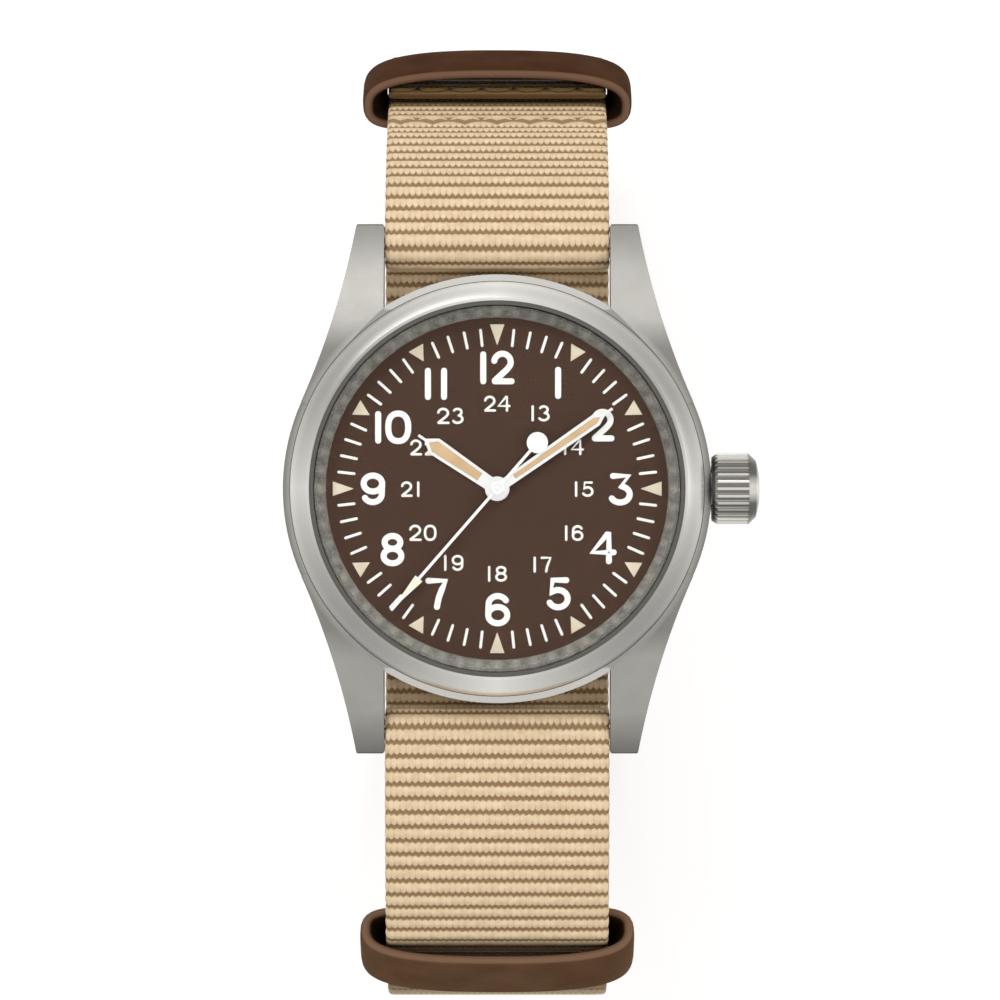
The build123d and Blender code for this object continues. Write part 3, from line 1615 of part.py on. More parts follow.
with BuildPart() as pallet_bridge:
    extrude(
        link_face(pallet_bridge_low, pallet_bridge_foot, pallet_place, pallet_bridge_width),
        amount=pallet_bridge_thickness,
    )
    column(pallet_bridge_foot, pallet_bridge_high, plate_low, pallet_bridge_width / 2)
    pivot_holes((pallet_place,), pallet_bridge_low, pallet_bridge_high)
    column(pallet_place, 0.0, plate_low, jewel_radius, Mode.SUBTRACT)
    column(pallet_foot, 0.0, plate_low, screw_shank_radius + screw_gap, Mode.SUBTRACT)
pallet_bridge.part.label = "pallet_bridge"
export_step(pallet_bridge.part, "parts/pallet_bridge.step")

# Pressed-in jewels, one at each pivot
jewel_spans = [(place, movement_low, movement_low + jewel_thickness) for place in bridge_jewel_places]
jewel_spans.append((balance_place, movement_low, movement_low + jewel_thickness))
jewel_spans.append((pallet_place, pallet_bridge_low, pallet_bridge_high))
jewel_spans.extend((place, plate_low, jewel_low_in_plate) for place in plate_jewel_places)
with BuildPart() as jewels:
    for place, low, high in jewel_spans:
        column(place, low, high, jewel_radius - press_gap)
    for place, low, high in jewel_spans:
        column(place, low - press_gap, high + press_gap, jewel_bore_radius, Mode.SUBTRACT)
jewels.part.label = "jewels"
export_step(jewels.part, "parts/jewels.step")

with BuildPart() as movement_screws:
    for foot in train_side_feet:
        column(foot, movement_low, movement_low + screw_head_height, screw_head_radius)
        column(foot, movement_low, plate_low + screw_bite, screw_shank_radius)
    column(pallet_foot, pallet_bridge_low - screw_head_height, pallet_bridge_low, screw_head_radius)
    column(pallet_foot, pallet_bridge_low, plate_low + screw_bite, screw_shank_radius)
movement_screws.part.label = "movement_screws"
export_step(movement_screws.part, "parts/movement_screws.step")


# A round rod or bore along X through a place given as distance towards 12 o'clock and height
def rod(place, start, end, radius, mode=Mode.ADD):
    with Locations(Location((start, *place), (0, 90, 0))):
        Cylinder(radius, end - start, align=(Align.CENTER, Align.CENTER, Align.MIN), mode=mode)


# Spring bars: a tube, a spring and two plungers that snap into the lugs
bar_places = ((bar_reach, head(bar_level)), (-bar_reach, head(bar_level)))
tube_half = bar_tube_length / 2
crimp_start = tube_half - bar_crimp_length
plunger_shoulder = crimp_start - running_gap
plunger_back = plunger_shoulder - plunger_length
with BuildPart() as spring_bar_tubes:
    for bar_place in bar_places:
        rod(bar_place, -tube_half, tube_half, bar_radius)
        rod(bar_place, -crimp_start, crimp_start, bar_tube_bore, Mode.SUBTRACT)
        rod(bar_place, -tube_half - overrun, tube_half + overrun, bar_crimp_bore, Mode.SUBTRACT)
spring_bar_tubes.part.label = "spring_bar_tubes"
export_step(spring_bar_tubes.part, "parts/spring_bar_tubes.step")

with BuildPart() as spring_bar_springs:
    for bar_place in bar_places:
        rod(bar_place, -plunger_back, plunger_back, bar_spring_radius)
        rod(bar_place, -plunger_back - overrun, plunger_back + overrun, bar_spring_bore, Mode.SUBTRACT)
spring_bar_springs.part.label = "spring_bar_springs"
export_step(spring_bar_springs.part, "parts/spring_bar_springs.step")

plunger_places = [(bar_place, side) for bar_place in bar_places for side in (1, -1)]
for number, (bar_place, side) in enumerate(plunger_places, start=1):
    body_ends = sorted((side * plunger_back, side * plunger_shoulder))
    tip_ends = sorted((side * plunger_shoulder, side * (lug_gap / 2 + plunger_seat)))
    with BuildPart() as plunger:
        rod(bar_place, *body_ends, plunger_radius)
        rod(bar_place, *tip_ends, plunger_tip_radius)
    plunger.part.label = f"spring_bar_plunger_{number}"
    export_step(plunger.part, f"parts/spring_bar_plunger_{number}.step")


# Routes of the strap lie in the YZ plane. A route that runs round the loop from the buckle
# towards the watch has the wearer's wrist on its left and the outside on its right.
def unit(start, end):
    length = hypot(end[0] - start[0], end[1] - start[1])
    return ((end[0] - start[0]) / length, (end[1] - start[1]) / length)


# The place so far along the line from start to end, moved sideways to the right of it
def beside(start, end, along, sideways):
    step = unit(start, end)
    return (
        start[0] + along * step[0] + sideways * step[1],
        start[1] + along * step[1] - sideways * step[0],
    )


# The corner of a route that runs beside another at a steady distance to its right
def corner_beside(before, here, after, sideways):
    first, second = unit(before, here), unit(here, after)
    grow = sideways / (1 + first[0] * second[0] + first[1] * second[1])
    return (
        here[0] + grow * (first[1] + second[1]),
        here[1] - grow * (first[0] + second[0]),
    )


def place_at_height(start, end, height):
    return (start[0] + (end[0] - start[0]) * (height - start[1]) / (end[1] - start[1]), height)


layer_pitch = strap_thickness + layer_gap
bar_wrap = bar_radius + bar_gap + strap_thickness / 2
buckle_wrap = buckle_bar_radius + bar_gap + strap_thickness / 2
tail_level = strap_thickness / 2
main_level = tail_level + layer_pitch
fold_level = main_level + layer_pitch
over_level = 2 * crossbar_radius + crossbar_gap + strap_thickness / 2
buckle_bar_level = main_level + buckle_wrap
under_back_level = head(-back_gap - strap_thickness / 2)
under_layer_level = under_back_level - layer_pitch

buckle_side = [(bar_reach + reach, head(height)) for reach, height, radius in reversed(buckle_side_corners)]
buckle_side_radii = [radius for reach, height, radius in reversed(buckle_side_corners)]
tail_side = [(-bar_reach - reach, head(height)) for reach, height, radius in tail_side_corners]
tail_side_radii = [radius for reach, height, radius in tail_side_corners]
buckle_side_base = (base_corners[0][0], main_level)
tail_side_base = (-base_corners[1][0], over_level)
bar_leave_buckle_side = beyond(bar_places[0], bar_wrap, 90 - buckle_side_slope)
bar_leave_tail_side = beyond(bar_places[1], bar_wrap, 90 + tail_side_slope)

# The tail lies outside the main band on the buckle side, and ends inside the top keeper
keeper_bend, keeper_line_end = buckle_side[2], buckle_side[1]
tail_base_corner = corner_beside((0.0, main_level), buckle_side_base, buckle_side[0], layer_pitch)
tail_low_corner = corner_beside(buckle_side_base, buckle_side[0], buckle_side[1], layer_pitch)
tail_high_corner = corner_beside(buckle_side[0], buckle_side[1], buckle_side[2], layer_pitch)
tail_end_drop = top_keeper_drop - keeper_width / 2 + tail_end_inset
tail_end = beside(keeper_bend, keeper_line_end, tail_end_drop, -layer_pitch)
slope_start = (-crossbar_slope_start, over_level)
slope_end = (-crossbar_slope_end, tail_level)
tongue_root = (buckle_bar_place, buckle_bar_level)
tongue_bend = (-tongue_bend_reach, tongue_level)
tongue_grade = (tongue_root[1] - tongue_bend[1]) / (tongue_root[0] - tongue_bend[0])
tail_grade = (slope_end[1] - slope_start[1]) / (slope_end[0] - slope_start[0])
pierced_reach = (
    slope_end[1] - tongue_root[1] + tongue_grade * tongue_root[0] - tail_grade * slope_end[0]
) / (tongue_grade - tail_grade)
pierced_place = (pierced_reach, slope_end[1] + tail_grade * (pierced_reach - slope_end[0]))

with BuildPart() as strap_main:
    with BuildSketch(Plane.YZ):
        with BuildLine():
            FilletPolyline(
                (buckle_bar_place + fold_back_length, fold_level),
                (buckle_bar_place + fold_rise_start, fold_level),
                (buckle_bar_place + fold_rise_end, buckle_bar_level + buckle_wrap),
                (buckle_bar_place, buckle_bar_level + buckle_wrap),
                radius=small_bend_radius,
            )
            CenterArc((buckle_bar_place, buckle_bar_level), buckle_wrap, 90, 180)
            FilletPolyline(
                (buckle_bar_place, main_level),
                buckle_side_base,
                *buckle_side,
                bar_leave_buckle_side,
                radius=[base_corners[0][1], *buckle_side_radii],
            )
            CenterArc(bar_places[0], bar_wrap, 90 - buckle_side_slope, 90 + buckle_side_slope)
            FilletPolyline(
                (bar_reach - bar_wrap, head(bar_level)),
                (bar_reach - bar_wrap, under_back_level),
                (bar_wrap - bar_reach, under_back_level),
                (bar_wrap - bar_reach, head(bar_level)),
                radius=under_corner_radius,
            )
            CenterArc(bar_places[1], bar_wrap, 0, 90 + tail_side_slope)
            FilletPolyline(
                bar_leave_tail_side,
                *tail_side,
                tail_side_base,
                slope_start,
                slope_end,
                tail_base_corner,
                tail_low_corner,
                tail_high_corner,
                tail_end,
                radius=[
                    *tail_side_radii,
                    base_corners[1][1],
                    small_bend_radius,
                    small_bend_radius,
                    base_corners[0][1] + layer_pitch,
                    buckle_side_radii[0] + layer_pitch,
                    buckle_side_radii[1] + layer_pitch,
                ],
            )
        trace(line_width=strap_thickness)
    extrude(amount=strap_width / 2, both=True)
    hole_depth = (strap_thickness + layer_gap) / 2
    slope_step = unit(slope_start, slope_end)
    pierced_plane = Plane(
        origin=(0, *pierced_place), x_dir=(0, *slope_step), z_dir=(0, -slope_step[1], slope_step[0])
    )
    with BuildSketch(pierced_plane):
        SlotOverall(hole_length, hole_width)
    extrude(amount=hole_depth, both=True, mode=Mode.SUBTRACT)
    tail_hole_spots = [
        (pierced_reach + hole_spacing * (number + 1), tail_level) for number in range(holes_towards_tail)
    ]
    loop_hole_spots = [
        (pierced_reach - hole_spacing * (number + 1), over_level) for number in range(holes_towards_loop)
    ]
    for spot in (*tail_hole_spots, *loop_hole_spots):
        with BuildSketch(Plane(origin=(0, *spot), x_dir=(0, 1, 0), z_dir=(0, 0, 1))):
            SlotOverall(hole_length, hole_width)
        extrude(amount=hole_depth, both=True, mode=Mode.SUBTRACT)
    tongue_room = tongue_width / 2 + tongue_side_gap
    loop_radius = buckle_bar_radius + running_gap + tongue_loop_wall
    slot_high = buckle_bar_level + buckle_wrap + strap_thickness
    slot_low = main_level - hole_depth
    slot_reach = buckle_bar_place + loop_radius + tongue_side_gap
    slot_start = buckle_bar_place - buckle_wrap - strap_thickness
    with Locations((0.0, (slot_start + slot_reach) / 2, (slot_low + slot_high) / 2)):
        Box(2 * tongue_room, slot_reach - slot_start, slot_high - slot_low, mode=Mode.SUBTRACT)
strap_main.part.label = "strap_main"
export_step(strap_main.part, "parts/strap_main.step")

# The under layer is sewn to the band at the stitch row between the top keeper and the case,
# passes under the case back and ends inside the bottom keeper
fold_corner, fold_line_end = tail_side[2], tail_side[3]
under_start = beside(keeper_bend, keeper_line_end, under_start_drop, layer_pitch)
under_bend = corner_beside(keeper_line_end, keeper_bend, buckle_side[3], -layer_pitch)
under_run_start = beside(keeper_bend, buckle_side[3], 0.0, -layer_pitch)
under_run_end = beside(keeper_bend, buckle_side[3], 1.0, -layer_pitch)
under_end_along = bottom_keeper_drop + keeper_width / 2 + under_end_length
under_finish_start = beside(fold_corner, fold_line_end, 0.0, -layer_pitch)
under_finish = beside(fold_corner, fold_line_end, under_end_along, -layer_pitch)
with BuildPart() as strap_under_layer:
    with BuildSketch(Plane.YZ):
        with BuildLine():
            FilletPolyline(
                under_start,
                under_bend,
                place_at_height(under_run_start, under_run_end, under_layer_level),
                place_at_height(under_finish_start, under_finish, under_layer_level),
                under_finish,
                radius=[buckle_side_radii[2] - layer_pitch, under_bend_radius, under_bend_radius],
            )
        trace(line_width=strap_thickness)
    extrude(amount=strap_width / 2, both=True)
strap_under_layer.part.label = "strap_under_layer"
export_step(strap_under_layer.part, "parts/strap_under_layer.step")


# A leather ring's plane: its X axis runs across the strap and its Z axis along the strap
def keeper_plane(place, step):
    return Plane(origin=(0, *place), x_dir=(1, 0, 0), z_dir=(0, *step))


# One outline of the ring, whose wall on the outer side bulges away from the strap
def keeper_face(plane, half_width, half_height, outer_side, grown):
    with BuildSketch(plane) as outline:
        with BuildLine():
            outer_wall = SagittaArc(
                (-half_width, outer_side * half_height),
                (half_width, outer_side * half_height),
                outer_side * keeper_bulge,
            )
            Polyline(
                outer_wall @ 1,
                (half_width, -outer_side * half_height),
                (-half_width, -outer_side * half_height),
                outer_wall @ 0,
            )
        make_face()
        corners = outline.vertices().sort_by(Axis(plane.origin, plane.y_dir * outer_side))
        fillet(corners[:2], radius=keeper_far_radius + grown)
        corners = outline.vertices().sort_by(Axis(plane.origin, plane.y_dir * outer_side))
        fillet(corners[-2:], radius=keeper_near_radius + grown)
    return outline.sketch


def keeper_ring(place, step, outer_side):
    half_width = strap_width / 2 + keeper_side_gap
    half_height = (keeper_layers * layer_pitch - layer_gap) / 2 + keeper_gap
    plane = keeper_plane(place, step)
    with BuildPart() as leather:
        leather_half_width = half_width + keeper_leather
        leather_half_height = half_height + keeper_leather
        outer_face = keeper_face(plane, leather_half_width, leather_half_height, outer_side, 0.0)
        extrude(outer_face, amount=keeper_width / 2, both=True)
        rim_edges = leather.faces().filter_by(plane).edges()
        fillet(rim_edges, radius=keeper_edge_radius)
        room_face = keeper_face(plane, half_width, half_height, outer_side, -keeper_leather)
        extrude(room_face, amount=keeper_width, both=True, mode=Mode.SUBTRACT)
    return leather.part


top_keeper_step = unit(keeper_bend, keeper_line_end)
top_keeper_place = beside(keeper_bend, keeper_line_end, top_keeper_drop, -layer_pitch / 2)
with BuildPart() as top_keeper:
    add(keeper_ring(top_keeper_place, top_keeper_step, -1))
top_keeper.part.label = "top_keeper"
export_step(top_keeper.part, "parts/top_keeper.step")

bottom_keeper_step = unit(fold_corner, fold_line_end)
bottom_keeper_place = beside(fold_corner, fold_line_end, bottom_keeper_drop, -layer_pitch / 2)
with BuildPart() as bottom_keeper:
    add(keeper_ring(bottom_keeper_place, bottom_keeper_step, 1))
bottom_keeper.part.label = "bottom_keeper"
export_step(bottom_keeper.part, "parts/bottom_keeper.step")

# Buckle: a bar in the strap's fold, a frame that hinges on it and a tongue
arm_inner = strap_width / 2 + buckle_side_gap
arm_outer = arm_inner + buckle_arm_thickness
with BuildPart() as buckle_bar:
    rod(tongue_root, -arm_outer, arm_outer, buckle_bar_radius)
buckle_bar.part.label = "buckle_bar"
export_step(buckle_bar.part, "parts/buckle_bar.step")

crossbar_place = (-crossbar_reach, crossbar_radius)
with BuildPart() as buckle_frame:
    eye_radius = buckle_bar_radius + running_gap
    arm_turn = degrees(atan2(tongue_root[1] - crossbar_place[1], tongue_root[0] - crossbar_place[0]))
    arm_middle = ((tongue_root[0] + crossbar_place[0]) / 2, (tongue_root[1] + crossbar_place[1]) / 2)
    arm_length = hypot(tongue_root[0] - crossbar_place[0], tongue_root[1] - crossbar_place[1])
    for arm_start in (arm_inner, -arm_outer):
        with BuildSketch(Plane.YZ.offset(arm_start)):
            with Locations(Location((*arm_middle, 0.0), (0, 0, arm_turn))):
                SlotCenterToCenter(arm_length, 2 * crossbar_radius)
            with Locations(tongue_root):
                Circle(eye_radius + buckle_eye_wall)
        extrude(amount=buckle_arm_thickness)
    rod(crossbar_place, -arm_outer, arm_outer, crossbar_radius)
    rod(tongue_root, -arm_outer - overrun, arm_outer + overrun, eye_radius, Mode.SUBTRACT)
    notch_high = tongue_level + tongue_thickness / 2 + layer_gap / 2
    with Locations((0.0, -crossbar_reach, notch_high - crossbar_radius)):
        Box(2 * tongue_room, 4 * crossbar_radius, 2 * crossbar_radius, mode=Mode.SUBTRACT)
buckle_frame.part.label = "buckle_frame"
export_step(buckle_frame.part, "parts/buckle_frame.step")

with BuildPart() as buckle_tongue:
    with BuildSketch(Plane.YZ):
        with BuildLine():
            FilletPolyline(
                tongue_root, tongue_bend, (-tongue_tip_reach, tongue_level), radius=tongue_bend_radius
            )
        trace(line_width=tongue_thickness)
        with Locations(tongue_root):
            Circle(loop_radius)
            Circle(buckle_bar_radius + running_gap, mode=Mode.SUBTRACT)
    extrude(amount=tongue_width / 2, both=True)
buckle_tongue.part.label = "buckle_tongue"
export_step(buckle_tongue.part, "parts/buckle_tongue.step")
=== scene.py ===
from contextlib import contextmanager
import math

import bpy
import numpy as np
from mathutils import Matrix, Vector


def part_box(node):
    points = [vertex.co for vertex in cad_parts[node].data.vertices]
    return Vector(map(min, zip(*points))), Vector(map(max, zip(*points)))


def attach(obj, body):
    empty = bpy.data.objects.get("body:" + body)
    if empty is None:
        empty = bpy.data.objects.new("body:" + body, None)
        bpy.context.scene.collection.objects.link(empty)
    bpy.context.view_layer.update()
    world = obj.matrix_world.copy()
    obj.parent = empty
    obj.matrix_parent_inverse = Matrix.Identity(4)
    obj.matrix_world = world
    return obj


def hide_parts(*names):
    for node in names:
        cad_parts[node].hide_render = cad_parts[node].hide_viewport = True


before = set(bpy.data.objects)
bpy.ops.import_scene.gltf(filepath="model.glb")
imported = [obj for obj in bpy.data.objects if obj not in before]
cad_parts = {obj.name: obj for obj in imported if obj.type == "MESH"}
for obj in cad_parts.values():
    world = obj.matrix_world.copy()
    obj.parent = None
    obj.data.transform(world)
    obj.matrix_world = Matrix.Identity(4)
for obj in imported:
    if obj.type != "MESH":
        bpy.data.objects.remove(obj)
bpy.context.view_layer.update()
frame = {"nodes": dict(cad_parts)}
nodes = frame["nodes"]
mm = 0.001
print("frame loaded:", len(nodes), "nodes")


def clearSelection():
    if bpy.context.object and bpy.context.object.mode != "OBJECT":
        bpy.ops.object.mode_set(mode="OBJECT")
    bpy.ops.object.select_all(action="DESELECT")
    bpy.context.view_layer.objects.active = None


def pick(*pieces):
    clearSelection()
    for piece in pieces:
        piece.select_set(True)
    bpy.context.view_layer.objects.active = pieces[0]


def added(operator, **settings):
    clearSelection()
    operator(**settings)
    return bpy.context.object


def settle(piece):  # modifiers and the object's place go into the mesh
    pick(piece)
    for modifier in list(piece.modifiers):
        bpy.ops.object.modifier_apply(modifier=modifier.name)
    bpy.ops.object.transform_apply(location=True, rotation=True, scale=True)


def joinUp(pieces):
    pick(*pieces)
    if len(pieces) > 1:
        bpy.ops.object.join()
    return bpy.context.object


@contextmanager
def editing(piece):  # starts with everything selected, ends with all faces turned outwards
    pick(piece)
    bpy.ops.object.mode_set(mode="EDIT")
    bpy.ops.mesh.select_all(action="SELECT")
    yield
    bpy.ops.mesh.select_all(action="SELECT")
    bpy.ops.mesh.normals_make_consistent(inside=False)
    bpy.ops.object.mode_set(mode="OBJECT")


def mergeDoubles(piece, gap):
    with editing(piece):
        bpy.ops.mesh.remove_doubles(threshold=gap)


def turnClockwise(piece, degrees):
    piece.data.transform(Matrix.Rotation(-math.radians(degrees), 4, "Z"))


def ownCopy(piece):
    twin = piece.copy()
    twin.data = piece.data.copy()
    bpy.context.scene.collection.objects.link(twin)
    return twin


def readPoints(piece):
    flat = np.empty(len(piece.data.vertices) * 3)
    piece.data.vertices.foreach_get("co", flat)
    return flat.reshape(-1, 3)


def writePoints(piece, points):
    piece.data.vertices.foreach_set("co", np.asarray(points, float).ravel())
    piece.data.update()


def giveValues(piece, name, values):
    attribute = piece.data.attributes.new(name, "FLOAT", "POINT")
    attribute.data.foreach_set("value", np.asarray(values, np.float32))


def signedPower(values, power):
    return np.sign(values) * np.abs(values) ** power


def fitOut(piece, name, body, finish, smoothAngle=40):
    piece.name = name
    piece.data.name = name
    piece.data.materials.clear()
    piece.data.materials.append(finishes[finish])
    pick(piece)
    bpy.ops.object.shade_smooth_by_angle(angle=math.radians(smoothAngle))
    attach(piece, body)
    clearSelection()
    return piece


def shade(red, green, blue):  # a picture colour, 0 to 255, as the light that Blender mixes
    return tuple((level / 255 / 12.92) if level < 11 else ((level / 255 + 0.055) / 1.055) ** 2.4
                 for level in (red, green, blue)) + (1.0,)


class Nodes:
    def __init__(self, tree):
        self.tree = tree

    def wire(self, source, target):
        self.tree.links.new(source, target)

    def make(self, kind, output, inputs, **settings):  # inputs are values or other nodes' outputs
        made = self.tree.nodes.new(kind)
        for setting, value in settings.items():
            setattr(made, setting, value)
        for socket, value in inputs.items():
            if isinstance(value, bpy.types.NodeSocket):
                self.wire(value, made.inputs[socket])
            else:
                made.inputs[socket].default_value = value
        return made.outputs[output]

    def maths(self, operation, *values):
        return self.make("ShaderNodeMath", 0, dict(enumerate(values)), operation=operation)

    def times(self, first, second):
        return self.maths("MULTIPLY", first, second)

    def spread(self, value, low, high, fromLow=0.3, fromHigh=0.7):
        inputs = {"Value": value, "From Min": fromLow, "From Max": fromHigh, "To Min": low, "To Max": high}
        return self.make("ShaderNodeMapRange", "Result", inputs, clamp=True)


class Finish(Nodes):
    def __init__(self, name, colour, metallic=0.0, roughness=0.5, **sockets):
        self.material = bpy.data.materials.new(name)
        self.material.use_nodes = True
        super().__init__(self.material.node_tree)
        self.shader = self.tree.nodes["Principled BSDF"]
        self.shader.inputs["Base Color"].default_value = colour
        self.shader.inputs["Metallic"].default_value = metallic
        self.shader.inputs["Roughness"].default_value = roughness
        for socket, value in sockets.items():
            self.shader.inputs[socket.replace("_", " ")].default_value = value

    def axes(self, where):
        across = self.make("ShaderNodeSeparateXYZ", "X", {0: where})
        return across, across.node.outputs["Y"]

    def attribute(self, name):
        return self.make("ShaderNodeAttribute", "Fac", {}, attribute_name=name)

    def place(self, centre=(0, 0, 0), size=(1, 1, 1), turn=(0, 0, 0)):
        inputs = {"Vector": self.make("ShaderNodeTexCoord", "Object", {}),
                  "Location": [-c * s for c, s in zip(centre, size)], "Rotation": turn, "Scale": size}
        return self.make("ShaderNodeMapping", "Vector", inputs, vector_type="POINT")

    def noise(self, where, scale, detail=2.0, roughness=0.5, dimensions="3D"):
        inputs = {"W" if dimensions == "1D" else "Vector": where,
                  "Scale": scale, "Detail": detail, "Roughness": roughness}
        return self.make("ShaderNodeTexNoise", "Fac", inputs, noise_dimensions=dimensions)

    def wave(self, where, scale, direction, distortion=0.0, profile="SIN"):
        inputs = {"Vector": where, "Scale": scale, "Distortion": distortion}
        return self.make("ShaderNodeTexWave", "Fac", inputs, bands_direction=direction, wave_profile=profile)

    def cells(self, where, scale, feature, randomness=1.0):
        inputs = {"Vector": where, "Scale": scale, "Randomness": randomness}
        return self.make("ShaderNodeTexVoronoi", "Distance", inputs, feature=feature)

    def radius(self, centre, size):  # distance from an axis through centre, along the way whose size is 0
        return self.make("ShaderNodeVectorMath", "Value", {0: self.place(centre, size)}, operation="LENGTH")

    def blendColours(self, factor, first, second):
        return self.make("ShaderNodeMix", 2, {0: factor, 6: first, 7: second}, data_type="RGBA")

    def colour(self, value):
        self.wire(value, self.shader.inputs["Base Color"])

    def gloss(self, value):
        self.wire(value, self.shader.inputs["Roughness"])

    def relief(self, height, depth, strength=1.0):
        inputs = {"Strength": strength, "Distance": depth, "Height": height}
        normal = self.shader.inputs["Normal"]
        if normal.is_linked:
            inputs["Normal"] = normal.links[0].from_socket
        self.wire(self.make("ShaderNodeBump", "Normal", inputs), normal)

    def weather(self, deep, pale, gloss, grain, cloud, relief, way=(1, 1, 1), strong=False):
        # a fine grain roughens and lifts the surface, and a slow cloud runs between two colours
        fine = self.noise(self.place(size=way), *grain)
        mottle = self.noise(self.place(), cloud, 2.0)
        if strong:
            mottle = self.spread(mottle, 0.0, 1.0)
        self.colour(self.blendColours(mottle, deep, pale))
        self.gloss(self.spread(fine, *gloss))
        self.relief(fine, *relief)
        return self


def dimmed(colour, share):
    return tuple(share * level for level in colour[:3]) + (1.0,)


# metres from the case's middle for its painted light; a pair is a change's start and end, the seam's its
# radius and half width
caseLightZones = {
    "frontTipShade": (0.0198, 0.0238),
    "frontSide": (-0.01, 0.01),
    "rimHalfWidth": (0.0099, 0.01012),
    "rimStart": (0.0158, 0.016),
    "flank": (0.01855, 0.01905),
    "flankFade": (0.0125, 0.015),
    "lugEndShade": (0.02352, 0.02362),
    "seam": (18.4 * mm, 0.05 * mm),
}


def blastedSteel():
    finish = Finish("blastedSteel", shade(162, 160, 155), 1.0, 0.42)
    zones = caseLightZones
    where = finish.place()
    grain = finish.noise(where, 9000, 2.0, 0.6)
    cloud = finish.noise(where, 420, 3.0)
    x, y = finish.axes(where)
    across, along = finish.maths("ABSOLUTE", x), finish.maths("ABSOLUTE", y)
    fromAxis = finish.radius((0, 0, 0), (1, 1, 0))
    # painted light: shade on the front lug tips, on the flank near 3 and 9 o'clock and on the lug ends, and a
    # painted highlight on the case between the lugs
    frontTipShade = finish.times(finish.spread(along, 0.0, 0.6, *zones["frontTipShade"]),
                             finish.spread(y, 1.0, 0.4, *zones["frontSide"]))
    rimHighlight = finish.times(finish.spread(across, 0.8, 0.0, *zones["rimHalfWidth"]),
                       finish.spread(along, 0.0, 1.0, *zones["rimStart"]))
    flank = finish.times(finish.spread(fromAxis, 0.0, 0.5, *zones["flank"]),
                         finish.spread(along, 1.0, 0.0, *zones["flankFade"]))
    lugEndShade = finish.spread(along, 0.0, 0.85, *zones["lugEndShade"])
    # painted shadow in the gap between bezel and case
    seam = finish.maths("COMPARE", fromAxis, *zones["seam"])
    steel = finish.blendColours(cloud, shade(153, 151, 146), shade(167, 165, 160))
    paintedLightTones = [(frontTipShade, shade(60, 58, 53)), (rimHighlight, shade(212, 210, 205)), (flank, shade(84, 82, 77)),
             (lugEndShade, shade(62, 60, 56)), (seam, shade(96, 94, 90))]
    for zone, tone in paintedLightTones:
        steel = finish.blendColours(zone, steel, tone)
    finish.colour(steel)
    finish.gloss(finish.spread(grain, 0.36, 0.5))
    finish.relief(grain, 0.000012, 0.6)
    return finish


# painted shade on the bezel: how far and how dark the side shade is, and the diagonal shade's strength from
# front to back
bezelPaintedShade = {"reach": (0.006, 0.018), "sideShare": 0.8, "front": (0.008, 0.016), "frontRange": (0.52, 0.28)}
# painted light on the crown: shade in the flutes, two dark reflection bands and a shaded cap with a glint
crownPaintedLight = {
    "flutes": (0.00298, 0.00312),  # radii between which painted shade deepens into the flutes
    "flutesEnd": (0.0223, 0.0225),
    "capStart": (0.02225, 0.02245),
    "fluteStrength": 0.85,
    "bandStrength": 0.62,
    "bandRise": (0.3, 0.66),  # shares of the crown's half width over which the painted dark reflection band rises
    "bandFall": (0.72, 0.86),
    "capStrength": 0.85,
    "capPaintedGlint": (0.1, 0.42),
}


def paintBezelShade(finish, steel, colour, paintedSideShade):  # painted shade in place of the bezel's darker reflections: greyer towards 3 and 9 o'clock and between the quarters
    plan = bezelPaintedShade
    x, y = finish.axes(finish.place())
    sideShade = finish.spread(finish.maths("ABSOLUTE", x), 0.0, paintedSideShade, *plan["reach"])
    steel = finish.blendColours(sideShade, steel, dimmed(colour, plan["sideShare"]))
    turn = finish.maths("ARCTAN2", x, y)
    diagonalShade = finish.maths("ABSOLUTE", finish.maths("SINE", finish.times(turn, 2.0)))
    front = finish.spread(y, *plan["frontRange"], *plan["front"])
    return finish.blendColours(finish.times(diagonalShade, front), steel, shade(0, 0, 0))


def paintCrownLight(finish, steel, centre, size):  # painted light: shade in the flutes, two dark reflection bands and a shaded cap that leaves a glint
    plan = crownPaintedLight
    x, y = finish.axes(finish.place())
    fluted = finish.spread(x, 1.0, 0.0, *plan["flutesEnd"])
    deep = finish.spread(finish.radius(centre, size), plan["fluteStrength"], 0.0, *plan["flutes"])
    height = finish.maths("DIVIDE", finish.maths("ABSOLUTE", y), plan["flutes"][1])
    band = finish.maths("MINIMUM", finish.spread(height, 0.0, plan["bandStrength"], *plan["bandRise"]),
                        finish.spread(height, plan["bandStrength"], 0.0, *plan["bandFall"]))
    capShade = finish.times(finish.spread(x, 0.0, plan["capStrength"], *plan["capStart"]),
                       finish.spread(height, 0.0, 1.0, *plan["capPaintedGlint"]))
    steel = finish.blendColours(finish.times(deep, fluted), steel, shade(52, 50, 46))
    steel = finish.blendColours(band, steel, shade(84, 81, 75))
    return finish.blendColours(capShade, steel, shade(60, 57, 52))


def turnedSteel(name, centre, size, colour, roughness, depth=0.000004, pitch=0.00005,
                fluted=False, paintedSideShade=0.0):
    finish = Finish(name, colour, 1.0, roughness)
    rings = finish.noise(finish.radius(centre, size), 1 / pitch, 2.0, 0.6, "1D")
    cloud = finish.noise(finish.place(), 300, 2.0)
    steel = finish.blendColours(cloud, dimmed(colour, 0.93), colour)
    # painted light: side and diagonal shade on the bezel; flute shade, dark reflection bands and a glint on
    # the crown
    if paintedSideShade:
        steel = paintBezelShade(finish, steel, colour, paintedSideShade)
    if fluted:
        steel = paintCrownLight(finish, steel, centre, size)
    finish.colour(steel)
    finish.gloss(finish.spread(rings, roughness * 0.8, roughness * 1.25))
    finish.relief(rings, depth, 0.5)
    return finish


def drawnSteel(name, colour, roughness, way=(1, 1, 1)):  # fine lines along the way whose size is small
    finish = Finish(name, colour, 1.0, roughness)
    return finish.weather(dimmed(colour, 0.9), colour, gloss=(roughness * 0.75, roughness * 1.3),
                          grain=(14000, 2.0, 0.6), cloud=500, relief=(0.000005, 0.5), way=way)


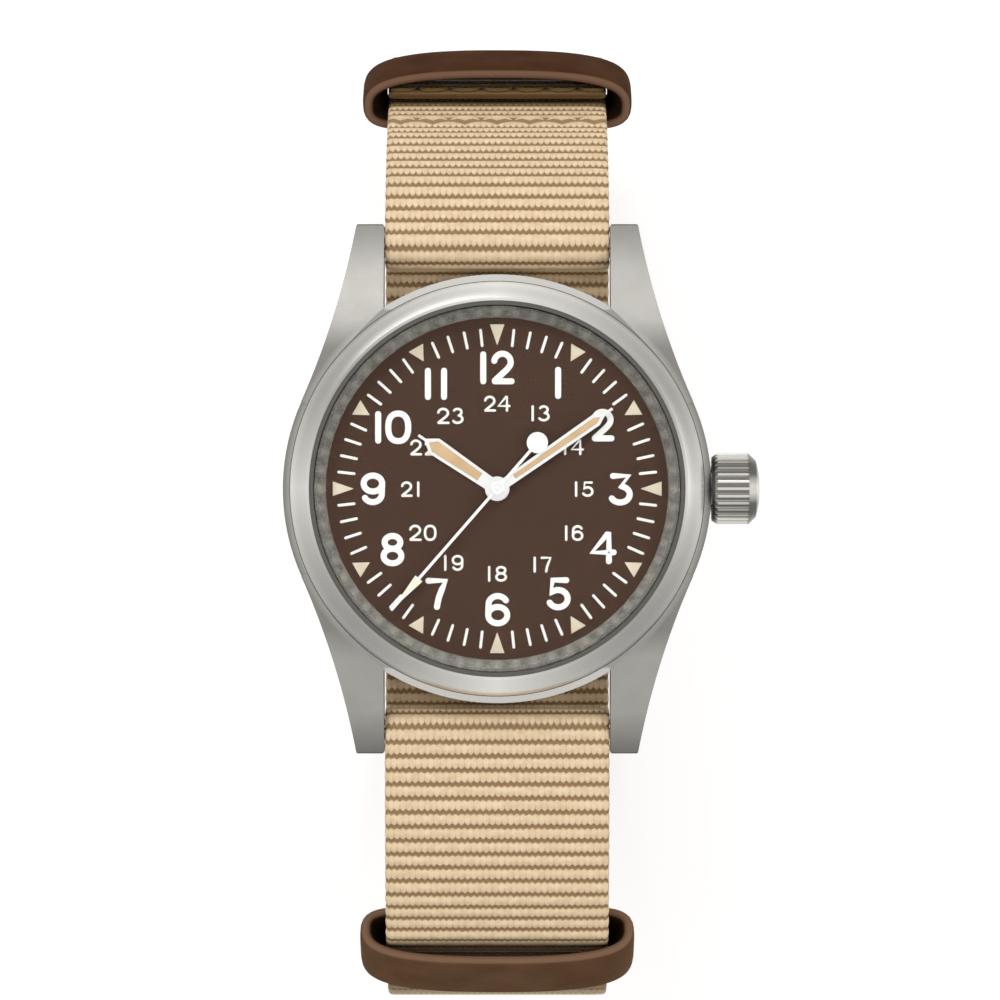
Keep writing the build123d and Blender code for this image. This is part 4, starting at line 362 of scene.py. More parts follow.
def platedBridge():  # nickel plate with broad straight stripes
    finish = Finish("stripedPlate", shade(206, 203, 196), 1.0, 0.24)
    slant = (0, 0, math.radians(35))
    stripes = finish.wave(finish.place(turn=slant), 130, "X", profile="SAW")
    lines = finish.noise(finish.place(size=(1, 0.06, 1), turn=slant), 9000, 2.0)
    finish.colour(finish.blendColours(stripes, shade(190, 187, 181), shade(214, 211, 204)))
    finish.gloss(finish.spread(lines, 0.18, 0.32))
    finish.relief(stripes, 0.00003, 0.35)
    finish.relief(lines, 0.000004, 0.4)
    return finish


def grainedBrass(name, colour, circles=0.0):  # circles are overlapping polished spots of about that size
    finish = Finish(name, colour, 1.0, 0.28)
    finish.weather(dimmed(colour, 0.86), colour, gloss=(0.22, 0.36), grain=(7000, 3.0), cloud=350,
                   relief=(0.000006, 0.5))
    if circles:
        spots = finish.cells(finish.place(), 1 / circles, "F1", 0.15)
        finish.relief(finish.maths("SINE", finish.times(spots, 60.0)), 0.000006, 0.5)
    return finish


def dialPaint():
    finish = Finish("dialPaint", shade(65, 44, 31), 0.0, 0.62, Specular_IOR_Level=0.15)
    return finish.weather(shade(62, 42, 30), shade(67, 46, 33), gloss=(0.6, 0.72), grain=(11000, 2.0, 0.6),
                          cloud=160, relief=(0.000003, 0.4))


def printedPaint(name, colour, thin):  # thick ink, a little uneven where it dried
    finish = Finish(name, colour, 0.0, 0.5, Specular_IOR_Level=0.4)
    return finish.weather(thin, colour, gloss=(0.42, 0.6), grain=(8000, 3.0), cloud=900,
                          relief=(0.000012, 0.5), strong=True)


def sealRubber(name, colour, roughness=0.5):
    finish = Finish(name, colour, 0.0, roughness, Specular_IOR_Level=0.4)
    return finish.weather(dimmed(colour, 0.8), colour, gloss=(roughness * 0.85, roughness * 1.2),
                          grain=(6000, 3.0), cloud=700, relief=(0.00001, 0.5))


def clearCrystal():
    finish = Finish("clearCrystal", (1.0, 1.0, 1.0, 1.0), 0.0, 0.0, Transmission_Weight=1.0, IOR=1.1)
    haze = finish.noise(finish.place(), 260, 1.0)
    finish.gloss(finish.spread(haze, 0.0, 0.012))
    return finish


def glossyRing():  # the dark sloping ring round the dial, with the minute marks' reflections painted on it
    finish = Finish("glossyRing", shade(92, 94, 90), 0.0, 0.2, Specular_IOR_Level=0.8)
    ringMiddle, ringHalf, marksPerHalfTurn = 15.6 * mm, 0.28 * mm, 30
    where = finish.place()
    cloud = finish.noise(where, 1500, 1.0)
    # painted reflections of the minute marks, lighter in the ring's middle
    turn = finish.times(finish.maths("ARCTAN2", *finish.axes(where)), marksPerHalfTurn / math.pi)
    marks = finish.maths("ADD", finish.maths("PINGPONG", turn, 0.5), finish.times(cloud, 0.4))
    paintedMarkReflections = finish.spread(marks, 0.6, 0.0, 0.25, 0.5)
    grey = finish.blendColours(finish.spread(cloud, 0.0, 1.0), shade(112, 111, 105), shade(143, 141, 133))
    middle = finish.maths("COMPARE", finish.radius((0, 0, 0), (1, 1, 0)), ringMiddle, ringHalf)
    finish.colour(finish.blendColours(finish.times(paintedMarkReflections, middle), grey, shade(166, 165, 156)))
    finish.gloss(finish.spread(finish.noise(where, 5000, 2.0), 0.18, 0.3))
    finish.relief(finish.noise(where, 2600, 2.0), 0.000005, 0.3)
    return finish


def rubyStone():
    finish = Finish("rubyStone", shade(206, 36, 74), 0.0, 0.06, Transmission_Weight=0.55, IOR=1.76)
    cloud = finish.noise(finish.place(), 2500, 2.0)
    finish.colour(finish.blendColours(cloud, shade(176, 20, 54), shade(226, 60, 96)))
    finish.gloss(finish.spread(finish.noise(finish.place(), 9000, 1.0), 0.03, 0.1))
    return finish


def keeperLeather():
    finish = Finish("keeperLeather", shade(84, 57, 40), 0.0, 0.72, Specular_IOR_Level=0.04, IOR=1.3)
    where = finish.place()
    pores = finish.cells(where, 3600, "DISTANCE_TO_EDGE")
    creases = finish.noise(finish.place(size=(0.35, 1, 1)), 700, 4.0, 0.6)
    cloud = finish.noise(where, 260, 3.0)
    upperKeeperShade = finish.spread(finish.axes(where)[1], 0.0, 1.0, -0.01, 0.01)  # painted shade: the upper keeper is darker than the lower
    deep = finish.blendColours(upperKeeperShade, shade(98, 70, 48), shade(70, 43, 26))
    pale = finish.blendColours(upperKeeperShade, shade(113, 84, 60), shade(85, 56, 37))
    colour = finish.blendColours(finish.spread(cloud, 0.0, 1.0), deep, pale)
    # lighter towards the outer rims
    colour = finish.blendColours(finish.attribute("paleRim"), colour, shade(140, 110, 89))
    # painted shade on the ring's inner face
    finish.colour(finish.blendColours(finish.attribute("inside"), colour, shade(30, 21, 15)))
    finish.gloss(finish.spread(creases, 0.6, 0.76))
    finish.relief(pores, 0.00003, 0.35)
    finish.relief(creases, 0.00007, 0.5)
    return finish


webbingWeave = {
    "ribPitch": 1.26,
    "threadPitch": 0.55,
    "thread": shade(255, 230, 192),
    "threadDeep": shade(238, 208, 168),
    "grooveShade": shade(160, 128, 88),
    "paintedShade": shade(84, 54, 8),
    "stitchStart": 10.06,
    "stitchPitch": 2.95,
    "stitchSag": 0.8,
}


def strapWebbing():  # the lengths map holds millimetres, across the band and along it
    weave = webbingWeave
    finish = Finish("strapWebbing", weave["thread"], 0.0, 0.55, Specular_IOR_Level=0.25)
    lengths = finish.make("ShaderNodeUVMap", "UV", {}, uv_map="lengths")
    across, along = finish.axes(lengths)
    row = finish.maths("DIVIDE", along, weave["ribPitch"])
    halfShift = finish.times(finish.maths("MODULO", finish.maths("FLOOR", row), 2.0), 0.5)
    column = finish.maths("ADD", finish.maths("DIVIDE", across, weave["threadPitch"]), halfShift)
    # 0 on the crest or the thread's middle, one half in the groove beside it
    fromRib = finish.maths("SUBTRACT", finish.maths("FRACT", row), 0.5)
    fromThread = finish.maths("ABSOLUTE", finish.maths("SUBTRACT", finish.maths("FRACT", column), 0.5))
    wander = finish.noise(finish.place(), 1500, 2.0)
    unevenness = finish.times(finish.maths("SUBTRACT", wander, 0.5), 0.14)
    # painted shade in the grooves between ribs and between threads, deepest where a thread pinches in
    pinchUp = finish.maths("ADD", fromRib, finish.times(fromThread, 0.32))
    pinchDown = finish.maths("SUBTRACT", finish.times(fromThread, 0.2), fromRib)
    pinchReach = finish.maths("ADD", finish.maths("MAXIMUM", pinchUp, pinchDown), unevenness)
    pinched = finish.spread(pinchReach, 0.0, 1.0, 0.36, 0.48)
    between = finish.times(finish.spread(fromThread, 0.0, 0.5, 0.3, 0.5),
                           finish.spread(fromRib, 0.1, 1.0, -0.1, 0.3))
    # painted shadow arcs along the stitch rows
    fromStart = finish.maths("SUBTRACT", across, weave["stitchStart"])
    stitch = finish.maths("PINGPONG", finish.maths("DIVIDE", fromStart, weave["stitchPitch"]), 0.5)
    arch = finish.maths("POWER", finish.maths("SUBTRACT", 1.0, finish.times(stitch, 2.0)), 2.0)
    fromStitch = finish.maths("SUBTRACT", finish.attribute("seamGap"), finish.times(arch, weave["stitchSag"]))
    stitchShadow = finish.spread(finish.maths("ABSOLUTE", fromStitch), 0.9, 0.0, 0.42, 0.7)
    colour = finish.blendColours(finish.spread(wander, 0.0, 1.0), weave["threadDeep"], weave["thread"])
    for zone in (between, pinched, stitchShadow):
        colour = finish.blendColours(zone, colour, weave["grooveShade"])
    # painted shade in and near the keepers
    finish.colour(finish.blendColours(finish.attribute("inside"), colour, weave["paintedShade"]))
    twist = finish.wave(lengths, 2.4, "DIAGONAL", 0.6)
    finish.gloss(finish.spread(twist, 0.42, 0.6, 0.0, 1.0))
    roundThread = finish.maths("SUBTRACT", 1.0, finish.maths("POWER", finish.times(fromThread, 2.0), 2.0))
    finish.relief(roundThread, 0.00003, 0.6)
    finish.relief(finish.maths("SUBTRACT", 1.0, pinched), 0.00012, 0.8)
    finish.relief(twist, 0.00001, 0.5)
    return finish


def sewingThread():
    finish = Finish("sewingThread", shade(236, 210, 174), 0.0, 0.55, Specular_IOR_Level=0.25)
    twist = finish.wave(finish.place(), 2200, "DIAGONAL")
    colour = finish.blendColours(twist, shade(228, 201, 164), shade(244, 219, 184))
    # painted shade in and near the keepers
    finish.colour(finish.blendColours(finish.attribute("inside"), colour, shade(112, 88, 44)))
    finish.relief(twist, 0.00003, 0.6)
    return finish


crownHeight = sum(corner.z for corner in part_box("crown")) / 2
finishes = {made.material.name: made.material for made in (
    blastedSteel(),
    turnedSteel("bezelSteel", (0, 0, 0), (1, 1, 0), shade(222, 220, 214), 0.3, paintedSideShade=0.55),
    turnedSteel("backSteel", (0, 0, 0), (1, 1, 0), shade(200, 198, 193), 0.3, 0.00001, 0.0001),
    turnedSteel("crownSteel", (0, 0, crownHeight), (0, 1, 1), shade(212, 209, 202), 0.26, fluted=True),
    drawnSteel("drawnSteel", shade(176, 177, 180), 0.3, (0.08, 1, 1)),
    drawnSteel("polishedSteel", shade(205, 204, 201), 0.16, (0.1, 1, 1)),
    drawnSteel("blueSteel", shade(62, 78, 128), 0.22),
    drawnSteel("handSteel", shade(240, 240, 238), 0.3),
    printedPaint("handWhite", shade(238, 238, 234), shade(226, 226, 222)),
    dialPaint(),
    printedPaint("numeralInk", shade(240, 240, 236), shade(228, 228, 222)),
    printedPaint("markPaste", shade(216, 206, 180), shade(203, 192, 166)),
    printedPaint("handPaste", shade(201, 170, 130), shade(188, 157, 117)),
    printedPaint("tipPaste", shade(244, 232, 206), shade(232, 218, 190)),
    clearCrystal(),
    sealRubber("sealRubber", shade(52, 52, 50)),
    sealRubber("crystalSeal", shade(96, 94, 86), 0.45),
    sealRubber("spacerPlastic", shade(150, 148, 140), 0.45),
    glossyRing(),
    grainedBrass("wheelBrass", shade(206, 172, 96)),
    grainedBrass("plateNickel", shade(204, 200, 190), 0.0011),
    platedBridge(),
    rubyStone(),
    keeperLeather(),
    strapWebbing(),
    sewingThread(),
)}
finishedNodes = {
    "blastedSteel": ["mid_case"],
    "bezelSteel": ["bezel"],
    "backSteel": ["case_back"],
    "crownSteel": ["crown"],
    "drawnSteel": ["crown_tube", "winding_stem", "sliding_pinion", "winding_pinion", "setting_lever", "yoke",
                   "click", "mainspring", "spring_bar_springs", "cannon_pinion", "setting_wheel",
                   "barrel_arbor", "pallet_fork"],
    "polishedSteel": ["ratchet_wheel", "crown_wheel", "escape_wheel", "regulator", "buckle_bar",
                      "buckle_frame", "buckle_tongue", "spring_bar_tubes",
                      *(f"spring_bar_plunger_{number}" for number in (1, 2, 3, 4))],
    "blueSteel": ["click_spring", "hairspring", "movement_screws"],
    "handSteel": ["hour_hand", "minute_hand"],
    "handWhite": ["seconds_hand"],
    "dialPaint": ["dial"],
    "clearCrystal": ["crystal"],
    "sealRubber": ["case_back_gasket", "crown_gasket"],
    "crystalSeal": ["crystal_gasket"],
    "spacerPlastic": ["movement_ring"],
    "glossyRing": ["rehaut_ring"],
    "wheelBrass": ["centre_wheel", "third_wheel", "fourth_wheel", "barrel_drum", "barrel_cover",
                   "minute_wheel", "hour_wheel", "balance_wheel"],
    "plateNickel": ["main_plate"],
    "stripedPlate": ["barrel_bridge", "train_bridge", "balance_cock", "pallet_bridge"],
    "rubyStone": ["jewels"],
}
for finishName, members in finishedNodes.items():
    for member in members:
        node = nodes[member]
        if not node.material_slots:
            node.data.materials.append(finishes[finishName])
        for holder in node.material_slots:
            holder.material = finishes[finishName]
nodes["crystal"].visible_shadow = False
print("finishes made:", len(finishes))


strapSize = {
    "width": 20.12,
    "thickness": 1.15,
    "ribDepth": 0.2,
    "ribRoundness": 0.75,
    "edge": [(0.55, 1.0), (0.24, 0.92), (0.06, 0.6), (0.0, 0.0)],  # inset, share of the half thickness
    "faceInset": 1.2,
    "edgeWave": 0.07,
    "waveInset": 1.0,
    "endTaper": 0.8,
    "endThickness": 0.3,
    "rowsPerRib": 6,
    "columns": 12,
    "seamLength": 2.3,
    "seamPlace": (33.28, 44.61),
    "layerPhase": 0.6,
    "paintedShadeShare": 0.88,
}
# corners of the band's middle line: y, height, radius; "turn" runs round a bar: y, height, radius, from, by
mainRoute = [
    ("run", [(15.5, 3.475, 0), (7.5, 3.475, 2), (4.7, 5.275, 2), (3.5, 5.275, 0)]),
    ("turn", (3.5, 3.65, 1.625, 90, 180)),
    ("run", [(3.5, 2.025, 0), (31, 2.025, 17), (39.1, 17.75, 24), (38.84, 31.48, 26), (31.6, 48.57, 9),
             (27.3, 54.455, 6), (22.5125, 57.2207, 0)]),
    ("turn", (21.75, 55.9, 1.525, 60, 120)),
    ("run", [(20.225, 55.9, 0), (20.225, 53.1, 1.2), (-20.225, 53.1, 1.2), (-20.225, 55.9, 0)]),
    ("turn", (-21.75, 55.9, 1.525, 0, 94)),
    ("run", [(-21.856, 57.421, 0), (-30, 56.85, 14), (-36.2, 55.2, 7), (-40.1, 52.7, 1.6), (-46.1, 42.665, 9),
             (-46.1, 28, 26), (-39, 9.5, 20), (-24, 2.975, 16), (-6.5, 2.975, 2), (-2.7, 0.575, 2),
             (31.884, 0.575, 18.45), (40.557, 17.411, 25.45), (40.284, 31.788, 27.45), (36.25, 41.309, 0)]),
]
layerRoute = [
    ("run", [(32.605, 42.48, 0), (30.33, 47.85, 7.55), (27.554, 51.65, 1.6), (-39.038, 51.65, 1.6),
             (-42.756, 45.433, 0)]),
]


def unit(rows):
    return rows / np.linalg.norm(rows, axis=1)[:, None]


def lengthsAlong(spots):
    return np.r_[0, np.cumsum(np.linalg.norm(np.diff(spots, axis=0), axis=1))]


def placesAt(distances, lengths, spots):
    return np.column_stack([np.interp(distances, lengths, spots[:, axis]) for axis in (0, 1)])


routeSteps = {"corner": 0.04, "turn": 120, "even": 0.05, "tooClose": 1e-4, "smoothing": 9}


def roundedRun(corners):
    spots = [np.array(corners[0][:2])]
    for number in range(1, len(corners) - 1):
        here, radius = np.array(corners[number][:2]), corners[number][2]
        back = np.array(corners[number - 1][:2]) - here
        ahead = np.array(corners[number + 1][:2]) - here
        back, ahead = back / np.linalg.norm(back), ahead / np.linalg.norm(ahead)
        half = math.acos(np.clip(back @ ahead, -1, 1)) / 2
        middle = here + (back + ahead) / np.linalg.norm(back + ahead) * radius / math.sin(half)
        first, last = here + back * radius / math.tan(half), here + ahead * radius / math.tan(half)
        start = math.atan2(*(first - middle)[::-1])
        sweep = math.atan2(*(last - middle)[::-1]) - start
        sweep = (sweep + math.pi) % (2 * math.pi) - math.pi
        count = max(2, int(abs(sweep) * radius / routeSteps["corner"]))
        for share in np.linspace(0, 1, count + 1):
            angle = start + sweep * share
            spots.append(middle + radius * np.array([math.cos(angle), math.sin(angle)]))
    spots.append(np.array(corners[-1][:2]))
    return spots


def walkRoute(route):
    spots = []
    for kind, facts in route:
        if kind == "run":
            spots += roundedRun(facts)
        else:
            y, z, radius, start, sweep = facts
            for angle in np.radians(np.linspace(start, start + sweep, routeSteps["turn"])):
                spots.append(np.array([y + radius * math.cos(angle), z + radius * math.sin(angle)]))
    spots = np.array(spots)
    spots = spots[np.r_[True, np.linalg.norm(np.diff(spots, axis=0), axis=1) > routeSteps["tooClose"]]]
    lengths = lengthsAlong(spots)
    even = np.arange(0, lengths[-1], routeSteps["even"])
    spots = placesAt(even, lengths, spots)
    heading = unit(np.gradient(spots, axis=0))
    smoothing = routeSteps["smoothing"]
    for axis in (0, 1):
        padded = np.pad(heading[:, axis], smoothing // 2, mode="edge")
        heading[:, axis] = np.convolve(padded, np.ones(smoothing) / smoothing, mode="valid")
    return even, spots, unit(heading)


def alongRoute(walked, distance, offset):
    even, spots, heading = walked
    place, ahead = placesAt(distance, even, spots), unit(placesAt(distance, even, heading))
    return place + np.column_stack([-ahead[:, 1], ahead[:, 0]]) * np.asarray(offset)[:, None]


def nearestDistance(walked, y, z):
    gaps = np.hypot(walked[1][:, 0] - y, walked[1][:, 1] - z)
    return walked[0][int(np.argmin(gaps))]


# where the bands pass through the keepers: middle of the ring, its axis and how far the painted shade reaches
keeperPlaces = {
    "top": {"centre": (36.4796, 38.9078), "heading": (-0.39, 0.9208),
            "from": 2.5, "tailFrom": 3.4, "reach": 9.0},
    "bottom": {"centre": (-41.325, 49.238), "heading": (-0.5132, -0.8583),
               "from": 3.1, "tailFrom": 3.1, "reach": 11.0},
}


keeperPaintedShade = {"mouthFade": 0.7, "deepShare": 0.5, "sideReach": 7, "tailSide": -0.1}


# painted shade in and near the keepers, 0 in the open and up to 1 deep inside
def paintedKeeperShade(places):
    paintedShade = np.zeros(len(places))
    for keeper in keeperPlaces.values():
        heading = np.array(keeper["heading"])
        beyond = (places - keeper["centre"]) @ heading * (1 if heading[1] > 0 else -1)
        sideways = (places - keeper["centre"]) @ np.array([-heading[1], heading[0]])
        edge = np.where(sideways < keeperPaintedShade["tailSide"], keeper["tailFrom"], keeper["from"])
        mouth = np.clip((edge - beyond) / keeperPaintedShade["mouthFade"], 0, 1)
        deep = np.clip((beyond + keeper["reach"]) / (keeperPaintedShade["deepShare"] * keeper["reach"]), 0, 1)
        paintedShade = np.maximum(paintedShade, mouth * deep * (np.abs(sideways) < keeperPaintedShade["sideReach"]))
    return paintedShade


farFromSeam = 9.0  # a band with no seam


def wovenBand(name, walked, phase=0.0, seam=None):
    # a flat grid, as wide as the band's whole girth, is curled round its thickness and laid along the route
    size = strapSize
    pitch = webbingWeave["ribPitch"]
    length = walked[0][-1]
    rows = int(length / pitch * size["rowsPerRib"])
    around = 2 * size["columns"] + 8
    band = added(bpy.ops.mesh.primitive_grid_add, x_subdivisions=around, y_subdivisions=rows, size=1)
    points = readPoints(band)
    girth, along = points[:, 0] + 0.5, (points[:, 1] + 0.5) * length
    half = size["width"] / 2
    # the ring of places round the band's section: across, then share of the half thickness
    edge = [(half - inset, share) for inset, share in size["edge"]]
    faceEnd = half - size["faceInset"]
    ring = [(x, 1.0) for x in np.linspace(-faceEnd, faceEnd, size["columns"] - 1)]
    ring += edge + [(x, -t) for x, t in reversed(edge[:-1])]
    ring += [(-x, -t) for x, t in ring]
    ring = np.array(ring)
    if len(ring) != around:
        ring = ring[np.linspace(0, len(ring), around, endpoint=False).astype(int)]
    slots = np.rint(girth * around).astype(int) % around
    across, side = ring[slots, 0], ring[slots, 1]
    ribPlace = along + phase * pitch
    if seam is not None:  # the ribs give way to a flat crest under the stitches
        first = seam - size["seamLength"] / 2
        crest = (np.round(first / pitch - 0.5) + 0.5) * pitch
        ribPlace = crest + np.minimum(along - first, 0) + np.maximum(along - first - size["seamLength"], 0)
    rib = (0.5 - 0.5 * np.cos(2 * np.pi * ribPlace / pitch)) ** size["ribRoundness"]
    fromEnd = np.sqrt(np.clip(np.minimum(along, length - along) / size["endTaper"], 0, 1))
    taper = size["endThickness"] + (1 - size["endThickness"]) * fromEnd
    thick = (size["thickness"] / 2 - size["ribDepth"] * (1 - rib)) * taper
    wave = np.where(np.abs(across) > half - size["waveInset"], size["edgeWave"] * (1 - rib), 0.0)
    flat = alongRoute(walked, along, thick * side)
    x = across - np.sign(across) * wave
    laid = np.column_stack([x, flat]) * mm
    uvLayer = band.data.uv_layers.active or band.data.uv_layers.new(name="lengths")
    uvLayer.name = "lengths"
    loops = np.empty(len(band.data.loops), int)
    band.data.loops.foreach_get("vertex_index", loops)
    lengths = np.column_stack([across + half, ribPlace])[loops]
    uvLayer.data.foreach_set("uv", lengths.ravel())
    # painted shade in and near the keepers
    giveValues(band, "inside", paintedKeeperShade(flat) * size["paintedShadeShare"])
    giveValues(band, "seamGap", along - seam if seam is not None else along + farFromSeam)
    writePoints(band, laid)
    mergeDoubles(band, 0.0000004)
    with editing(band):  # the two cut ends are closed
        bpy.ops.mesh.select_all(action="DESELECT")
        bpy.ops.mesh.select_mode(type="EDGE")
        bpy.ops.mesh.select_non_manifold()
        bpy.ops.mesh.fill()
    band.name = name
    return band


def slotCutter(y, z, turn, long, wide, depth):
    cutter = added(bpy.ops.mesh.primitive_cylinder_add, vertices=32, radius=wide / 2 * mm, depth=depth * mm)
    points = readPoints(cutter)
    points[:, 1] += np.sign(np.round(points[:, 1], 7)) * (long - wide) / 2 * mm
    writePoints(cutter, points)
    cutter.rotation_euler = (turn, 0, 0)
    cutter.location = (0, y * mm, z * mm)
    settle(cutter)
    return cutter


def cutAway(piece, cutter):
    modifier = piece.modifiers.new("cut", "BOOLEAN")
    modifier.object = cutter
    modifier.solver = "FAST"
    settle(piece)
    bpy.data.objects.remove(cutter)


mainWalk, layerWalk = walkRoute(mainRoute), walkRoute(layerRoute)
joinDistance = nearestDistance(mainWalk, *strapSize["seamPlace"])
strapBand = wovenBand("strapBand", mainWalk, seam=joinDistance)
strapLayer = wovenBand("strapLayer", layerWalk, strapSize["layerPhase"])
tailHoles = {
    "long": 3.8,
    "wide": 2.0,
    "depth": 1.44,
    "places": [(2.43, 0.575, 0.0), (8.93, 0.575, 0.0), (-10.57, 2.975, 0.0), (-17.07, 2.975, 0.0),
               (-4.07, 1.441, math.atan2(-2.4, 3.8))],  # y, height, turn
}
for y, z, turn in tailHoles["places"]:
    cutAway(strapBand, slotCutter(y, z, turn, tailHoles["long"], tailHoles["wide"], tailHoles["depth"]))
tongueGap = {"place": (0.0, 3.4, 3.65), "size": (1.8, 4.9, 4.7)}
tongueSlot = added(bpy.ops.mesh.primitive_cube_add, size=1,
                   location=[place * mm for place in tongueGap["place"]],
                   scale=[size * mm for size in tongueGap["size"]])
settle(tongueSlot)
cutAway(strapBand, tongueSlot)
fitOut(strapBand, "strapBand", "watch", "strapWebbing", 60)
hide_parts("strap_main")
fitOut(strapLayer, "strapLayer", "watch", "strapWebbing", 60)
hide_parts("strap_under_layer")
print("strap:", len(strapBand.data.polygons), "and", len(strapLayer.data.polygons), "faces")


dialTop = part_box("dial")[1].z


def arc(middle, size, first, last, count):  # an oval's points between two angles in degrees
    return [(middle[0] + size[0] * math.cos(a), middle[1] + size[1] * math.sin(a))
            for a in np.radians(np.linspace(first, last, count))]


def squareOval(power, count):  # a full oval with squarer shoulders
    return [tuple(0.5 + 0.5 * signedPower(way, power) for way in (math.cos(a), math.sin(a)))
            for a in np.linspace(0, 2 * math.pi, count)]


glyphs = {  # stroke lines in a box one wide and one high
    "0": [squareOval(0.85, 33)],
    "1": [[(0.5, 0), (0.5, 1)]],
    "2": [arc((0.48, 0.7), (0.47, 0.3), 172, -28, 14) + [(0.72, 0.42), (0.04, 0.02)],
          [(0.04, 0.0), (1.0, 0.0)]],
    "3": [[(0.06, 1.0), (0.94, 1.0), (0.5, 0.61)] + arc((0.46, 0.305), (0.54, 0.305), 80, -150, 18)],
    "4": [[(0.78, 0.0), (0.78, 1.0), (0.7, 1.0), (0.0, 0.33), (1.0, 0.33)]],
    "5": [[(0.92, 1.0), (0.18, 1.0), (0.08, 0.52)] + arc((0.48, 0.32), (0.52, 0.32), 128, -152, 20)],
    "6": [arc((0.5, 0.7), (0.48, 0.3), 28, 180, 12) + [(0.0, 0.32)], arc((0.5, 0.3), (0.5, 0.3), 0, 360, 29)],
    "7": [[(0.0, 1.0), (1.0, 1.0), (0.78, 0.66), (0.6, 0.34), (0.5, 0.0)]],
    "8": [arc((0.5, 0.765), (0.44, 0.235), 0, 360, 25), arc((0.5, 0.265), (0.5, 0.265), 0, 360, 29)],
    "small3": [arc((0.46, 0.765), (0.44, 0.235), 150, -80, 14)
               + arc((0.46, 0.27), (0.54, 0.27), 80, -150, 18)],
}
glyphs["9"] = [[(1 - x, 1 - y) for x, y in line] for line in glyphs["6"]]
inkRise = {"raised": 0.03, "step": 0.006}  # crossing strokes stand at slightly different heights


def inkLine(points, width, raised=inkRise["raised"]):  # a bead with round ends, flattened onto the dial
    curve = bpy.data.curves.new("ink", "CURVE")
    curve.dimensions = "3D"
    curve.bevel_depth = width / 2 * mm
    curve.bevel_resolution = 3
    closed = len(points) > 4 and math.dist(points[0], points[-1]) < 1e-6
    if closed:
        points = points[:-1]
    line = curve.splines.new("POLY")
    line.points.add(len(points) - 1)
    for spot, (x, y) in zip(line.points, points):
        spot.co = (x * mm, y * mm, 0, 1)
    line.use_cyclic_u = closed
    holder = bpy.data.objects.new("ink", curve)
    bpy.context.scene.collection.objects.link(holder)
    pick(holder)
    bpy.ops.object.convert(target="MESH")
    parts = [bpy.context.object]
    corners = [] if closed else [points[0], points[-1]]
    for x, y in corners:
        parts.append(added(bpy.ops.mesh.primitive_uv_sphere_add, segments=16, ring_count=8,
                           radius=width / 2 * mm, location=(x * mm, y * mm, 0)))
        settle(parts[-1])
    bead = joinUp(parts)
    spots = readPoints(bead)
    spots[:, 2] = dialTop + spots[:, 2] / (width / 2 * mm) * raised * mm
    writePoints(bead, spots)
    return bead


numeralPlan = {"stroke": 0.54, "smallStroke": 0.22, "shift": -0.1}
# glyph, left, right, bottom, top of its outer box, in millimetres from the middle of the dial
bigNumerals = [
    ("1", -1.41, -0.87, 9.27, 12.2), ("2", -0.45, 1.65, 9.27, 12.26), ("1", 5.24, 5.78, 7.97, 10.83),
    ("2", 8.45, 10.51, 4.2, 7.1), ("3", 10.02, 12.14, -1.49, 1.4), ("4", 8.26, 10.71, -6.71, -3.77),
    ("5", 4.46, 6.63, -10.8, -7.85), ("6", -0.97, 1.27, -12.22, -9.26), ("7", -6.28, -4.22, -10.76, -7.9),
    ("8", -10.26, -8.14, -6.89, -3.92), ("9", -12.03, -9.85, -1.46, 1.44), ("1", -10.74, -10.2, 4.0, 6.9),
    ("0", -9.85, -7.53, 3.96, 6.95), ("1", -6.32, -5.78, 7.88, 10.74), ("1", -4.89, -4.35, 7.88, 10.74),
]
smallNumerals = [
    ("1", 3.14, 3.36, 5.97, 7.42), ("small3", 3.75, 4.77, 5.97, 7.42), ("1", 6.02, 6.24, 2.98, 4.4),
    ("4", 6.6, 7.8, 2.98, 4.4), ("1", 7.0, 7.22, -0.73, 0.66), ("5", 7.62, 8.66, -0.73, 0.66),
    ("1", 6.12, 6.34, -4.64, -3.23), ("6", 6.72, 7.76, -4.64, -3.23), ("1", 3.32, 3.54, -7.45, -6.02),
    ("7", 3.95, 4.95, -7.45, -6.02), ("1", -0.72, -0.5, -8.26, -6.85), ("8", -0.08, 0.98, -8.26, -6.85),
    ("1", -4.62, -4.4, -7.3, -5.87), ("9", -3.95, -2.89, -7.3, -5.87), ("2", -7.73, -6.6, -4.64, -3.19),
    ("0", -6.42, -5.28, -4.64, -3.19), ("2", -8.46, -7.4, -0.73, 0.66), ("1", -7.02, -6.8, -0.73, 0.66),
    ("2", -7.64, -6.56, 2.95, 4.38), ("2", -6.36, -5.28, 2.95, 4.38), ("2", -5.25, -4.12, 5.74, 7.2),
    ("small3", -3.9, -2.88, 5.74, 7.2), ("2", -1.08, 0.0, 6.84, 8.27), ("4", 0.1, 1.29, 6.84, 8.27),
]


def setNumerals(name, numerals, stroke):
    beads = []
    for glyph, left, right, bottom, top in numerals:
        left, right = left + numeralPlan["shift"] + stroke / 2, right + numeralPlan["shift"] - stroke / 2
        bottom, top = bottom + stroke / 2, top - stroke / 2
        for number, line in enumerate(glyphs[glyph]):
            laid = [(left + x * (right - left), bottom + y * (top - bottom)) for x, y in line]
            beads.append(inkLine(laid, stroke, inkRise["raised"] + inkRise["step"] * number))
    return fitOut(joinUp(beads), name, "watch", "numeralInk", 60)


setNumerals("hourNumerals", bigNumerals, numeralPlan["stroke"])
setNumerals("dayNumerals", smallNumerals, numeralPlan["smallStroke"])

minuteMarks = {"inner": 12.78, "outer": 14.15, "width": 0.25}
mark = inkLine([(0, minuteMarks["inner"]), (0, minuteMarks["outer"])], minuteMarks["width"])
marks = []
for minute in range(60):
    if minute % 5:
        twin = ownCopy(mark)
        turnClockwise(twin, 6 * minute)
        marks.append(twin)
bpy.data.objects.remove(mark)
fitOut(joinUp(marks), "minuteMarks", "watch", "numeralInk", 60)

